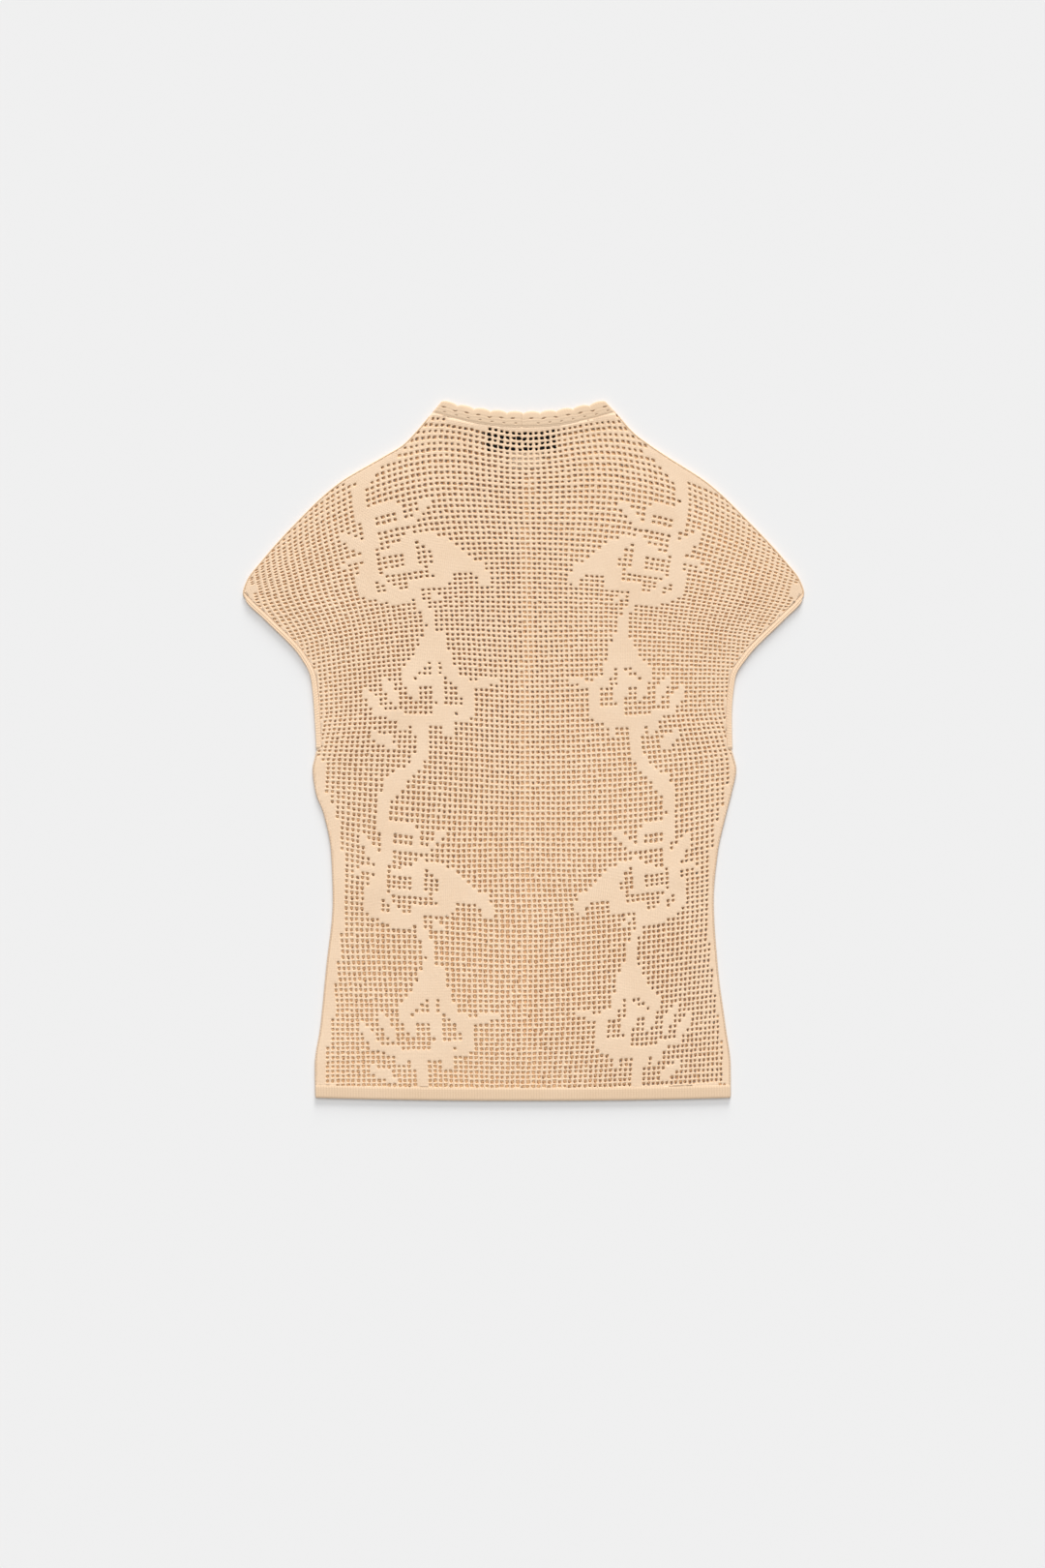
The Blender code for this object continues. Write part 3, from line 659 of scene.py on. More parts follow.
def net_piece(name, grid, first_row, last_row, look, place_z, material, nodes, shoulder):
    """A stretch of net as one closed skin. A hole's ring is the cell's frame drawn towards its middle by the
    hole's reach, and the shoulder ring, if asked for, lies between the two. look says how open a cell is."""
    column, row, across, height, beyond = grid
    frame_points, middle = cell_numbers(column.shape)
    x, h = across.ravel()[frame_points], height.ravel()[frame_points]
    area = 0.5 * (x * np.roll(h, -1, -1) - np.roll(x, -1, -1) * h).sum(-1)
    outside = beyond.ravel()[frame_points].all(-1)
    columns_of, rows_of = column.ravel()[middle], row.ravel()[middle]
    live = (area > SLIVER * FULL_CELL) & ~outside & (rows_of >= first_row) & (rows_of <= last_row)
    openness = look(columns_of, rows_of, x.mean(-1), h.mean(-1), area)
    size, shift_x, shift_h, wide, tall, wobble = openness

    underside, half = place_z(across.ravel(), height.ravel())
    middle_z = underside + half
    total = column.size
    upper = np.stack([across.ravel(), height.ravel(), middle_z + half], axis=1)
    lower = np.stack([across.ravel(), height.ravel(), middle_z - half], axis=1)
    uv = np.stack([column.ravel(), row.ravel()], axis=1)
    point_lists, uv_lists = [upper, lower], [uv, uv]
    depth_lists = [np.zeros(total), np.full(total, UNDERSIDE_PAINTED_SHADE)]
    faces = []

    is_open = live & (size > 0)
    f = frame_points[is_open]
    centre = middle[is_open]
    corner_share = np.where(np.arange(ROUND) % 2 == 0, CORNER_PULL, 1.0)
    reach = (size[is_open][:, None] * corner_share * (1 + wobble[is_open]))[..., None]
    around = upper[f] - upper[centre][:, None]
    moved = np.stack([shift_x[is_open], shift_h[is_open], np.zeros(len(f))], axis=1)[:, None]
    mid = middle_z[f]
    aspect = np.stack([wide[is_open], tall[is_open], np.ones(len(f))], axis=1)[:, None]
    rim = upper[centre][:, None] + around * reach * aspect + moved
    rim[..., 2] = mid
    rim_id = 2 * total + np.arange(ROUND * len(f)).reshape(-1, ROUND)
    point_lists.append(rim.reshape(-1, 3))
    uv_rim = uv[centre][:, None] + (uv[f] - uv[centre][:, None]) * reach
    uv_lists.append(uv_rim.reshape(-1, 2))
    depth_lists.append(np.full(ROUND * len(f), HOLE_RIM_PAINTED_SHADE))
    nxt = np.roll(np.arange(ROUND), -1)
    if shoulder:
        ring = BAR_SHARE * upper[f] + HOLE_SHARE * rim
        ring[..., 2] = mid + BAR_ROUND * half[f]
        ring_id = rim_id + rim_id.size
        point_lists.append(ring.reshape(-1, 3))
        uv_lists.append((BAR_SHARE * uv[f] + HOLE_SHARE * uv_rim).reshape(-1, 2))
        depth_lists.append(np.full(ROUND * len(f), BAR_SHOULDER_PAINTED_SHADE))
        faces.append(np.stack([f, f[:, nxt], ring_id[:, nxt], ring_id], axis=-1))
        faces.append(np.stack([ring_id, ring_id[:, nxt], rim_id[:, nxt], rim_id], axis=-1))
    else:
        faces.append(np.stack([f, f[:, nxt], rim_id[:, nxt], rim_id], axis=-1))
    faces.append(np.stack([rim_id, rim_id[:, nxt], total + f[:, nxt], total + f], axis=-1))

    is_shut = live & ~is_open
    f, centre = frame_points[is_shut], middle[is_shut]
    hub = np.repeat(centre[:, None], ROUND, axis=1)
    faces.append(np.stack([f, f[:, nxt], hub, hub], axis=-1))
    faces.append(np.stack([total + f[:, nxt], total + f, total + hub, total + hub], axis=-1))

    walls = outer_walls(frame_points, live, total)
    every_face = np.vstack([part.reshape(-1, 4) for part in faces] + [walls])
    every_point = np.vstack(point_lists)
    on_join = ((row == first_row - 0.5) | (row == last_row + 0.5)).ravel()
    facing = np.zeros(every_point.shape)
    facing[:total, 2] = on_join
    facing[total:2 * total, 2] = -1.0 * on_join
    piece = mesh_piece(name, every_point, every_face, np.vstack(uv_lists), np.concatenate(depth_lists),
                       material, nodes, len(walls), facing)
    return piece, float(area[live].sum()) * MM ** 2, int(is_open.sum())


def net_in_pieces(pieces, grid, look, place_z, material, node, shoulder):
    """A panel's net in stretches of rows, which keeps each mesh small. The last one replaces the solid."""
    made = {}
    for net_name, first, last in pieces:
        nodes = (node,) if net_name == pieces[-1][0] else ()
        made[net_name] = net_piece(net_name, grid, first, last, look, place_z, material, nodes, shoulder)
    return made


print("a full cell:", round(FULL_CELL, 2), "square mm")

# %% [markdown]
# ## The back
# Each hole is a little different, as in any soft knit: its size, place and eight radii wander by a few
# hundredths of a cell. Holes beside a flower are pinched. The row over the hem band has larger holes, and
# near the neck rows of larger and smaller holes alternate. A strip along each side is knitted plain.

# %% Which cells are knitted plain
PLAIN_SIDES = [
    # (side, from height, to height, width of the plain strip)
    (-1, 0.0, 296.0, 10.0),
    (1, 0.0, 296.0, 5.5),
    (1, 540.0, 568.0, 8.5),
    (-1, 546.0, 566.0, 7.0),
]
PLAIN_EDGE = 1.4
PLAIN_TIP = 11.0
PLAIN_FADE = 10.0
PLAIN_NECK = 3.4


def from_edge(side, across, height):
    """Distance to the outline square to it: the distance across, times the cosine of the outline's lean."""
    lean = (edge(side, height + 1.0) - edge(side, height - 1.0)) / 2
    return side * (edge(side, height) - across) / np.sqrt(1 + lean ** 2)


def plain_strip(across, height):
    """True where the panel is knitted plain: along its sides, and at the sleeves' tips."""
    plain = np.zeros(np.shape(across), bool)
    for side in (-1, 1):
        plain |= from_edge(side, across, height) < PLAIN_EDGE
        plain |= np.hypot(across - edge(side, TIP_HEIGHT), height - TIP_HEIGHT) < PLAIN_TIP
    for side, low, high, width in PLAIN_SIDES:
        held = smooth_step((height - low) / PLAIN_FADE + 1) * smooth_step((high - height) / PLAIN_FADE + 1)
        plain |= from_edge(side, across, height) < width * held
    return plain


print("plain near the sleeve's tip:", bool(plain_strip(np.array([240.0]), np.array([445.0]))[0]))

# %% Which holes of the back are open, and how wide
HOLE_VARIATION = 0.09
LARGEST_CHANGE = 2.0
LARGEST_WOBBLE = 1.6
BACK_SEED = 17
HOLE_REACH = 0.555
WIDE_AT_HEM, WIDE_AT_NECK = 0.84, 1.08
TALL_AT_HEM, TALL_AT_NECK = 1.08, 0.96
ASPECT_FROM_ROW, ASPECT_ROWS = 50.0, 50.0
PINCHED, PINCH_SLOPE = 0.80, 0.4
SIZE_AT_HEM, SIZE_LOSS_UP = 1.09, 0.20
LOSS_FROM_ROW, LOSS_ROWS = 20.0, 90.0
ALTERNATE_FROM_ROW = 118
EVEN_ROW, ODD_ROW = 0.84, 1.08
FIRST_ROW = 1.12
OVER_LABEL = 1.22
AT_SIDE, SIDE_GAIN, SIDE_REACH = 0.78, 0.22, 40.0
LEAST_CELL = 0.5
BACK_SHIFT, BACK_WOBBLE = 0.05, 0.16


def wander(seed, reach, shift, wobble, shape):
    """Each hole's size, its shift across and up in mm, and the shares by which its eight radii differ.
    All are normal draws, and those for size and radii are held within a few deviations."""
    rng = np.random.default_rng(seed)
    size = reach * (1 + HOLE_VARIATION * np.clip(rng.normal(size=shape), -LARGEST_CHANGE, LARGEST_CHANGE))
    shift_x = CELL_WIDTH * shift * rng.normal(size=shape)
    shift_h = CELL_HEIGHT * shift * rng.normal(size=shape)
    radii = wobble * np.clip(rng.normal(size=shape + (ROUND,)), -LARGEST_WOBBLE, LARGEST_WOBBLE)
    return size, shift_x, shift_h, radii


def back_look(column, row, across, height, area):
    """Size 0 shuts a hole. Otherwise the hole's reach is a share of the cell: less near the flowers, at the
    sides and higher up, where the cloth is stretched less."""
    size, shift_x, shift_h, radii = wander(BACK_SEED, HOLE_REACH, BACK_SHIFT, BACK_WOBBLE, column.shape)
    away = garland_distance(column, row)
    size = size * np.clip(PINCHED + PINCH_SLOPE * away, PINCHED, 1.0)
    size = size * (SIZE_AT_HEM - SIZE_LOSS_UP * smooth_step((row - LOSS_FROM_ROW) / LOSS_ROWS))
    size = size * np.where(row > ALTERNATE_FROM_ROW, np.where(row % 2 < 1, EVEN_ROW, ODD_ROW), 1.0)
    size = size * np.where(row < 0.5, FIRST_ROW, 1.0)
    over_label = (across > LABEL["left"]) & (across < LABEL["right"]) & (height > LABEL["low"])
    size = size * np.where(over_label, OVER_LABEL, 1.0)
    size = size * (AT_SIDE + SIDE_GAIN * smooth_step(side_distance(across, height) / SIDE_REACH))
    shut = (away < 0) | plain_strip(across, height) | (area < LEAST_CELL * FULL_CELL)
    shut |= neck_line(across) - height < PLAIN_NECK
    upward = smooth_step((row - ASPECT_FROM_ROW) / ASPECT_ROWS)
    wide = WIDE_AT_HEM + (WIDE_AT_NECK - WIDE_AT_HEM) * upward
    tall = TALL_AT_HEM + (TALL_AT_NECK - TALL_AT_HEM) * upward
    return np.where(shut, 0.0, size), shift_x, shift_h, wide, tall, radii


print("the bell flower's middle is shut:", bool(garland_distance(np.array([-17.0]), np.array([86.0]))[0] < 0))

# %% Build the back net
NET_HALF = 0.52
RELIEF_SHARE = 0.8
RIM_REACH = 5.0
RIM_DROP = 0.35
NECK_RISE, NECK_REACH = 0.4, 14.0


def back_z(across, height):
    """Underside and half thickness of the back: the soft relief, with the rims drawn down to the front and
    the neck's end raised to the band's foot."""
    rim_drop = RIM_DROP * (1 - smooth_step(side_distance(across, height) / RIM_REACH))
    neck_rise = NECK_RISE * smooth_step(1 - (neck_line(across) - height) / NECK_REACH)
    underside = LAYER + RELIEF_SHARE * upper_relief(across, height) - rim_drop + neck_rise
    return underside, np.full(across.shape, NET_HALF)


COLUMNS = (-60, 60)
ROWS = (-2, 136)
BACK_GRID = net_grid(COLUMNS, ROWS, net_lie)
BACK_PIECES = [
    # (piece, first row, last row)
    ("back_net_lower", -2, 57),
    ("back_net_middle", 58, 95),
    ("back_net_upper", 96, 136),
]
back_net = net_in_pieces(BACK_PIECES, BACK_GRID, back_look, back_z, NET_YARN, "back_panel", True)
print("holes in the back:", sum(entry[2] for entry in back_net.values()))

# %% [markdown]
# ## The front
# The front lies underneath and shows only through the back's holes, where its bars make the holes look
# peach and not white. Its yarn is painted warmer than the back's, in place of light that has passed through
# the back's yarn. It is the same net, but it was laid a little askew, so its holes drift in and out
# of step with those above. A plain strip runs down its middle, with an eyelet every 24 mm. Its bars are
# hardly seen, so they do without the shoulder ring.

# %% Which holes of the front are open, and how wide
FRONT_SEED = 29
FRONT_REACH = 0.22
FRONT_STRIP = {"middle": 3.4, "half width": 4.8, "top": 548.0, "eyelet step": 24.0}
FRONT_SHIFT, FRONT_WOBBLE = 0.06, 0.14
COLUMN_DRIFT, COLUMN_SHIFT = 1.012, 0.3
ROW_DRIFT, ROW_SHIFT = 1.004, 0.35
SKEW, SKEW_ABOUT = 0.006, 300.0


def front_lie(column, row):
    """The back's map, turned by a third of a degree and shifted by a fraction of a cell."""
    across, height = net_lie(column * COLUMN_DRIFT + COLUMN_SHIFT, row * ROW_DRIFT - ROW_SHIFT)
    return across - SKEW * (height - SKEW_ABOUT), height + SKEW * across


def front_look(column, row, across, height, area):
    """Open everywhere but the sides and the middle strip, which keeps one hole at each eyelet step."""
    size, shift_x, shift_h, radii = wander(FRONT_SEED, FRONT_REACH, FRONT_SHIFT, FRONT_WOBBLE, column.shape)
    from_middle = np.abs(across - FRONT_STRIP["middle"])
    strip = (from_middle < FRONT_STRIP["half width"]) & (height < FRONT_STRIP["top"])
    step = FRONT_STRIP["eyelet step"]
    eyelet = (from_middle < CELL_WIDTH / 2) & (np.mod(height, step) < CELL_HEIGHT)
    shut = (strip & ~eyelet) | plain_strip(across, height) | (area < LEAST_CELL * FULL_CELL)
    even = np.ones(column.shape)
    return np.where(shut, 0.0, size), shift_x, shift_h, even, even, radii


print("eyelets in the front's strip:", int(FRONT_STRIP["top"] // FRONT_STRIP["eyelet step"]))

# %% Build the front net
FRONT_HALF = 0.76
FLOOR_CLEAR = 0.05
RIM_LIFT = 0.20


def front_z(across, height):
    """The front lies flat, and its rims lift a little to meet the back's."""
    rim_lift = RIM_LIFT * (1 - smooth_step(side_distance(across, height) / RIM_REACH))
    return FLOOR_CLEAR + rim_lift, np.full(across.shape, FRONT_HALF)


FRONT_GRID = net_grid(COLUMNS, ROWS, front_lie)
FRONT_PIECES = [
    # (piece, first row, last row)
    ("front_net_lower", -2, 62),
    ("front_net_upper", 63, 136),
]
front_net = net_in_pieces(FRONT_PIECES, FRONT_GRID, front_look, front_z, FRONT_YARN, "front_panel", False)
print("holes in the front:", sum(entry[2] for entry in front_net.values()))

# %% [markdown]
# ## Bands round the openings
# A neckband or an armhole edging is a tube of knit that has been pressed flat: an upper wall and a lower
# wall, joined by a fold at each end, with a slit between them. Seen end on, its outer face is a stadium,
# and so is its inner face. One function lofts such a band between any two lines, and a second function
# says how the stitches raise or sink its face.

# %% A band pressed flat
OUTER_ROUND = (2 * WALL + SEAM_GAP) / 2
INNER_ROUND = SEAM_GAP / 2
FOLD_STEPS = 7
STITCH_SIZE = 2.3
# The inner faces of a pressed band get this share of painted shade.
INNER_FACE_PAINTED_SHADE = 0.8


def folded_band(name, line_a, line_b, length, stations, levels, relief, depth, material, node, lift=None):
    """Stadium section: straight, half turn, straight, half turn. levels run from line a to line b."""
    fold = OUTER_ROUND / length
    straight = np.linspace(fold, 1 - fold, stations)
    angle = np.linspace(0, math.pi, FOLD_STEPS + 2)[1:-1]
    share_out = np.concatenate([straight, 1 - fold + fold * np.sin(angle),
                                straight[::-1], fold - fold * np.sin(angle)])
    ratio = INNER_ROUND / OUTER_ROUND
    share_in = np.concatenate([straight, 1 - fold + fold * ratio * np.sin(angle),
                               straight[::-1], fold - fold * ratio * np.sin(angle)])
    up = np.concatenate([np.ones(stations), np.cos(angle), -np.ones(stations), -np.cos(angle)])
    w = np.array(levels)
    a_out, b_out, a_in, b_in = line_a(share_out), line_b(share_out), line_a(share_in), line_b(share_in)
    plan = a_out[:, None] + w[None, :, None] * (b_out - a_out)[:, None]
    s_grid, w_grid = np.meshgrid(share_out, w, indexing="ij")
    rise = relief(s_grid, w_grid)
    rise = np.where(up[:, None] > 0, rise, np.minimum(rise, 0.0)) * up[:, None]
    z_out = OUTER_ROUND * (1 + up)[:, None] + rise
    outer = np.concatenate([plan, z_out[..., None]], axis=-1)
    z_in = (OUTER_ROUND + INNER_ROUND * up)[:, None]
    inner = np.stack([np.concatenate([b_in, z_in], axis=1), np.concatenate([a_in, z_in], axis=1)], axis=1)
    points = np.concatenate([outer, inner], axis=1)
    if lift:
        points[..., 2] += lift(points[..., 0], points[..., 1]) * ((1 + up) / 2)[:, None]
    rows, columns = points.shape[:2]
    uv = np.zeros((rows, columns, 2))
    uv[..., 0] = (share_out * length / STITCH_SIZE)[:, None]
    uv[:, :len(w), 1] = w * np.linalg.norm(b_out - a_out, axis=1).mean() / STITCH_SIZE
    # Each point's share of painted shade: from the given function on the outer face, a fixed share inside.
    deep = np.zeros((rows, columns))
    deep[:, :len(w)] = depth(s_grid, w_grid)
    deep[:, len(w):] = INNER_FACE_PAINTED_SHADE
    quads = grid_quads(rows, columns, True, True)
    return mesh_piece(name, points.reshape(-1, 3), quads[:, ::-1] if line_turn(a_out, b_out) else quads,
                      uv.reshape(-1, 2), deep.ravel(), material, (node,))


def line_turn(a_line, b_line):
    """True where going along line a with line b on the right would turn the faces inwards."""
    run = a_line[len(a_line) // 4] - a_line[0]
    side_way = b_line[0] - a_line[0]
    return run[0] * side_way[1] - run[1] * side_way[0] < 0


print("a pressed band is", 2 * OUTER_ROUND, "mm thick")

# %% [markdown]
# ## The neckband
# The neck ends in a low band with ten shell lobes on each side. A row of slit eyelets runs through its
# middle and a fainter row runs below, half a step over. A fine groove shows where the band is linked to
# the net, and a short upright line where its two ends meet at the back. All three are sunk and carry painted
# shade.

# %% Build the neckband
EYELETS = [
    # (row, place between edge and foot, first share, step, count, half length mm, half height mm, sink mm)
    ("upper left", 0.46, 0.038, 0.0664, 7, 1.7, 0.55, 1.3),
    ("upper right", 0.46, 0.544, 0.0707, 7, 1.7, 0.55, 1.3),
    ("lower left", 0.76, 0.056, 0.0664, 7, 1.2, 0.45, 0.7),
    ("lower right", 0.76, 0.580, 0.0650, 7, 1.2, 0.45, 0.7),
]
EYELET_CORE, EYELET_FADE = 0.6, 0.7
LOBE_RISE = 2.5
EDGE_DIP = 10.6
BAND_LENGTH = float(edge(1, BAND_TOP_HEIGHT) - edge(-1, BAND_TOP_HEIGHT))
BAND_HEIGHT = 16.0
ROLL_DROP, ROLL_REACH = 0.9, 0.14
FAN_RISE, FAN_STITCHES, FAN_SPREAD, FAN_FADE = 0.10, 5, 0.6, 0.4
VALLEY_DROP, VALLEY_REACH, VALLEY_FADE = 0.12, 0.05, 0.35
CORD_RISE, CORD_REACH, UPPER_CORD, LOWER_CORD = 0.12, 0.035, 0.36, 0.56
# The groove's and the join's tones are shares of painted shade.
GROOVE_DROP, GROOVE_REACH, GROOVE_AT, GROOVE_TONE = 0.12, 0.02, 0.92, 0.25
FOOT_DROP, FOOT_FROM, FOOT_SPAN = 0.35, 0.8, 0.2
JOIN_DROP, JOIN_REACH, JOIN_AT, JOIN_TONE = 0.30, 0.4, 0.487, 0.35
NECK_STATIONS = 321


def band_foot(share):
    """The band's foot: a parabola between the outline's edges."""
    left, right = edge(-1, BAND_FOOT_HEIGHT), edge(1, BAND_FOOT_HEIGHT)
    height = BAND_FOOT_HEIGHT - FOOT_DIP * neck_dip(2 * share - 1)
    return np.stack([left + share * (right - left), height], axis=1)


def band_top(share):
    """The band's edge: a shallower parabola with ten rounded lobes, each the root of a sine's half wave."""
    left, right = edge(-1, BAND_TOP_HEIGHT), edge(1, BAND_TOP_HEIGHT)
    lobe = LOBE_RISE * np.sqrt(np.abs(np.sin(math.pi * SCALLOP_COUNT * share)))
    height = BAND_TOP_HEIGHT - EDGE_DIP * neck_dip(2 * share - 1) + lobe
    return np.stack([left + share * (right - left), height], axis=1)


def bell(away, reach):
    """1 where away is zero, falling off on both sides as exp(-(away / reach) squared)."""
    return np.exp(-(away / reach) ** 2)


def eyelet_marks(share, w):
    """0 away from the eyelets and 1 in their middles, and the same times each one's sink in mm. An eyelet is
    an ellipse, eased out at its rim."""
    mark, sink = np.zeros(share.shape), np.zeros(share.shape)
    for _, place, first_share, step, count, half_length, half_height, deep in EYELETS:
        nearest = np.clip(np.round((share - first_share) / step), 0, count - 1)
        along = (share - first_share - nearest * step) * BAND_LENGTH / half_length
        beside = (w - place) * BAND_HEIGHT / half_height
        inside = 1 - smooth_step((np.hypot(along, beside) - EYELET_CORE) / EYELET_FADE)
        mark = np.maximum(mark, inside)
        sink = np.maximum(sink, inside * deep)
    return mark, sink


def neck_relief(share, w):
    """Sum of a rolled edge, a fan of stitches in each lobe, valleys between lobes, two cords beside the
    eyelets, the linking groove and the join. Cords and grooves are bell curves, in mm of rise."""
    rolled = -ROLL_DROP * np.clip(1 - w / ROLL_REACH, 0, 1) ** 2
    lobe_phase = np.mod(share * SCALLOP_COUNT, 1.0) - 0.5
    turn = 2 * math.pi * FAN_STITCHES * lobe_phase / (FAN_SPREAD + w)
    fan = FAN_RISE * np.cos(turn) * (1 - smooth_step(w / FAN_FADE))
    valleys = -VALLEY_DROP * bell(np.abs(lobe_phase) - 0.5, VALLEY_REACH) * (1 - smooth_step(w / VALLEY_FADE))
    cords = CORD_RISE * (bell(w - UPPER_CORD, CORD_REACH) + bell(w - LOWER_CORD, CORD_REACH))
    foot = FOOT_DROP * smooth_step((w - FOOT_FROM) / FOOT_SPAN)
    groove = -GROOVE_DROP * bell(w - GROOVE_AT, GROOVE_REACH) - foot
    join = -JOIN_DROP * bell((share - JOIN_AT) * BAND_LENGTH, JOIN_REACH)
    return rolled + fan + valleys + cords + groove + join - eyelet_marks(share, w)[1]


def neck_depth(share, w):
    """Painted shade in the eyelets, in the groove and along the join."""
    groove = GROOVE_TONE * bell(w - GROOVE_AT, GROOVE_REACH)
    join = JOIN_TONE * bell((share - JOIN_AT) * BAND_LENGTH, JOIN_REACH)
    return np.maximum(np.maximum(groove, join), eyelet_marks(share, w)[0])


NECK_LEVELS = [0, 0.02, 0.05, 0.10, 0.17, 0.25, 0.32, 0.36, 0.40, 0.43, 0.445, 0.46, 0.475, 0.49, 0.52, 0.56,
               0.60, 0.66, 0.71, 0.735, 0.76, 0.785, 0.81, 0.86, 0.90, 0.92, 0.94, 0.96, 0.98, 1.0]
neckband = folded_band("scalloped_neckband", band_top, band_foot, BAND_LENGTH, NECK_STATIONS, NECK_LEVELS,
                       neck_relief, neck_depth, BAND_YARN, "neckband", label_lift)

# %% [markdown]
# ## The sleeve edgings
# Each sleeve opening is finished with a narrow edging of three fine cords that run along it. It is the
# same flattened tube, between the outline and a line five millimetres inside it.

# %% Build the sleeve edgings
EDGING_LEVELS = np.linspace(0, 1, 16)
EDGING_STATIONS = 250
EDGING_STITCHES = 152.0 / 2.0
CORD_START, CORD_STEP, EDGING_CORD_RISE = 0.18, 0.32, 0.15
STITCH_RISE, STITCH_SLANT = 0.07, 3.0
OUTER_DROP, OUTER_REACH = 0.5, 0.10
INNER_DROP, INNER_FROM, INNER_SPAN = 0.8, 0.6, 0.4
FACE_DROP = 0.1
# Share of painted shade in the valleys between the cords.
VALLEY_TONE = 0.25


def edging_relief(share, w):
    """Three cords along the edging, rounded edges, and a stitch every two millimetres."""
    cords = EDGING_CORD_RISE * np.cos(2 * math.pi * (w - CORD_START) / CORD_STEP)
    inner = INNER_DROP * smooth_step((w - INNER_FROM) / INNER_SPAN)
    rounded = -OUTER_DROP * np.clip(1 - w / OUTER_REACH, 0, 1) ** 2 - inner
    stitches = STITCH_RISE * np.sin(2 * math.pi * share * EDGING_STITCHES + STITCH_SLANT * w)
    return cords + rounded + stitches - FACE_DROP


def edging_depth(share, w):
    """Painted shade in the valleys between the cords."""
    return VALLEY_TONE * (0.5 - 0.5 * np.cos(2 * math.pi * (w - CORD_START) / CORD_STEP))


def along(points):
    """A line through points as a function of the share of its length."""
    steps = np.linalg.norm(np.diff(points, axis=0), axis=1)
    reached = np.concatenate([[0.0], np.cumsum(steps)]) / steps.sum()
    return lambda share: np.stack([np.interp(share, reached, points[:, k]) for k in (0, 1)], axis=1)


for side, side_name in ((-1, "left"), (1, "right")):
    outer_line, inner_line = sleeve_lines(side)
    edging_length = float(np.linalg.norm(np.diff(outer_line, axis=0), axis=1).sum())
    folded_band(side_name + "_sleeve_edging", along(outer_line), along(inner_line),
                                     edging_length, EDGING_STATIONS, EDGING_LEVELS, edging_relief,
                                     edging_depth, EDGE_YARN, side_name + "_sleeve_band")
print("edging length:", round(edging_length, 1), "mm a side")

# %% [markdown]
# ## The hem band
# The hem is a close ribbed band, eleven millimetres deep: fine upright ribs on the back, and the same on
# the front where it lies underneath. A thin slab between two grids of points makes each stretch, with its
# rim drawn together so that it reads as a rounded knitted edge.


# %% A thin slab between two surfaces
def rim_numbers(number):
    """Numbers of a grid's rim points, once round: first row, last column, last row and first column."""
    return np.concatenate([number[0, :-1], number[:-1, -1], number[-1, :0:-1], number[:0:-1, 0]])


def slab(name, top, bottom, uv, depth, material, nodes):
    """Close the space between two grids of points with a wall round their rims."""
    rows, columns = top.shape[:2]
    count = rows * columns
    face = grid_quads(rows, columns)
    rim = rim_numbers(np.arange(count).reshape(rows, columns))
    rim_next = np.roll(rim, -1)
    wall = np.stack([rim_next, rim, rim + count, rim_next + count], axis=1)
    faces = np.vstack([face, face[:, ::-1] + count, wall])
    points = np.concatenate([top.reshape(-1, 3), bottom.reshape(-1, 3)])
    return mesh_piece(name, points, faces, np.tile(uv.reshape(-1, 2), (2, 1)), np.tile(depth.ravel(), 2),
                      material, nodes)


print("rim points of a grid of four by three:", len(rim_numbers(np.arange(12).reshape(4, 3))))

# %% Build the two stretches of hem band
HEM_LEVELS = np.array([0.0, 0.03, 0.10, 0.22, 0.40, 0.60, 0.80, 0.92, 0.98, 1.0])
STATIONS_IN_RIB = 4
RIB_RISE = 0.34
RIB_POWER = 0.7
# Share of painted shade in the valleys between the ribs.
RIB_TONE = 0.25
RIBBED_FROM, RIBBED_TO = 0.12, 0.10
HEM_THICKNESS = 1.35
RIM_SHARE, BODY_SHARE, ROUNDED_RIM = 0.45, 0.55, 0.8
TOP_THINNING, TOP_FROM, TOP_SPAN = 0.25, 0.85, 0.15
REST_GAP = 0.02


def hem_band(name, upper, node):
    """Ribs are rounded ridges, one for each step across; the band's rows follow the hem's curved line."""
    share = np.linspace(-1.0, 1.0, RIB_COUNT * STATIONS_IN_RIB + 1)
    w, s = np.meshgrid(HEM_LEVELS, share, indexing="ij")
    height = hem_lift(s) + w * HEM_BAND_WIDTH
    middle = (edge(-1, height) + edge(1, height)) / 2
    half = (edge(1, height) - edge(-1, height)) / 2 - EDGE_INSET
    across = middle + s * half
    rib = np.abs(np.sin(math.pi * RIB_COUNT * (s + 1) / 2)) ** RIB_POWER
    ribbed = smooth_step(w / RIBBED_FROM) * smooth_step((1 - w) / RIBBED_TO)
    rounding = np.sqrt(np.minimum(w * HEM_BAND_WIDTH / ROUNDED_RIM, 1.0))
    thinning = 1 - TOP_THINNING * smooth_step((w - TOP_FROM) / TOP_SPAN)
    thick = HEM_THICKNESS * (RIM_SHARE + BODY_SHARE * rounding) * thinning
    floor_z = LAYER + REST_GAP if upper else 0.0
    low = floor_z + (HEM_THICKNESS - thick) / 2
    ridge = RIB_RISE * rib * ribbed
    top_z = low + thick + (ridge if upper else 0.0)
    bottom_z = low if upper else low + RIB_RISE - ridge
    top = np.stack([across, height, top_z], axis=-1)
    bottom = np.stack([across, height, bottom_z], axis=-1)
    uv = np.stack([s * RIB_COUNT / 2, w * 6.0], axis=-1)
    # The valleys between the ribs get painted shade.
    return slab(name, top, bottom, uv, RIB_TONE * (1 - rib) * ribbed, BAND_YARN, (node,))


hem_back = hem_band("ribbed_hem_back", True, "hem_band_back")
hem_front = hem_band("ribbed_hem_front", False, "hem_band_front")

# %% [markdown]
# ## The linked edges
# Front and back are linked along the sides and over the shoulders. The link is a narrow roll of yarn that
# closes the gap between the two layers. It is a twisted tube along the outline.

# %% Build the rolls along the outline
LINK_STEP = 1.1
LINK_SIDES = 12
LINK_HALF_HEIGHT, LINK_MIDDLE = 1.4, 1.72
LINK_INSET = 1.1
SWELL, SWELL_STEPS = 0.10, 2.4
TAPER_STEPS = 2.0
# Shares of painted shade: the whole roll, and more where the cord narrows.
LINK_TONE, SWELL_TONE = 0.5, 4.0


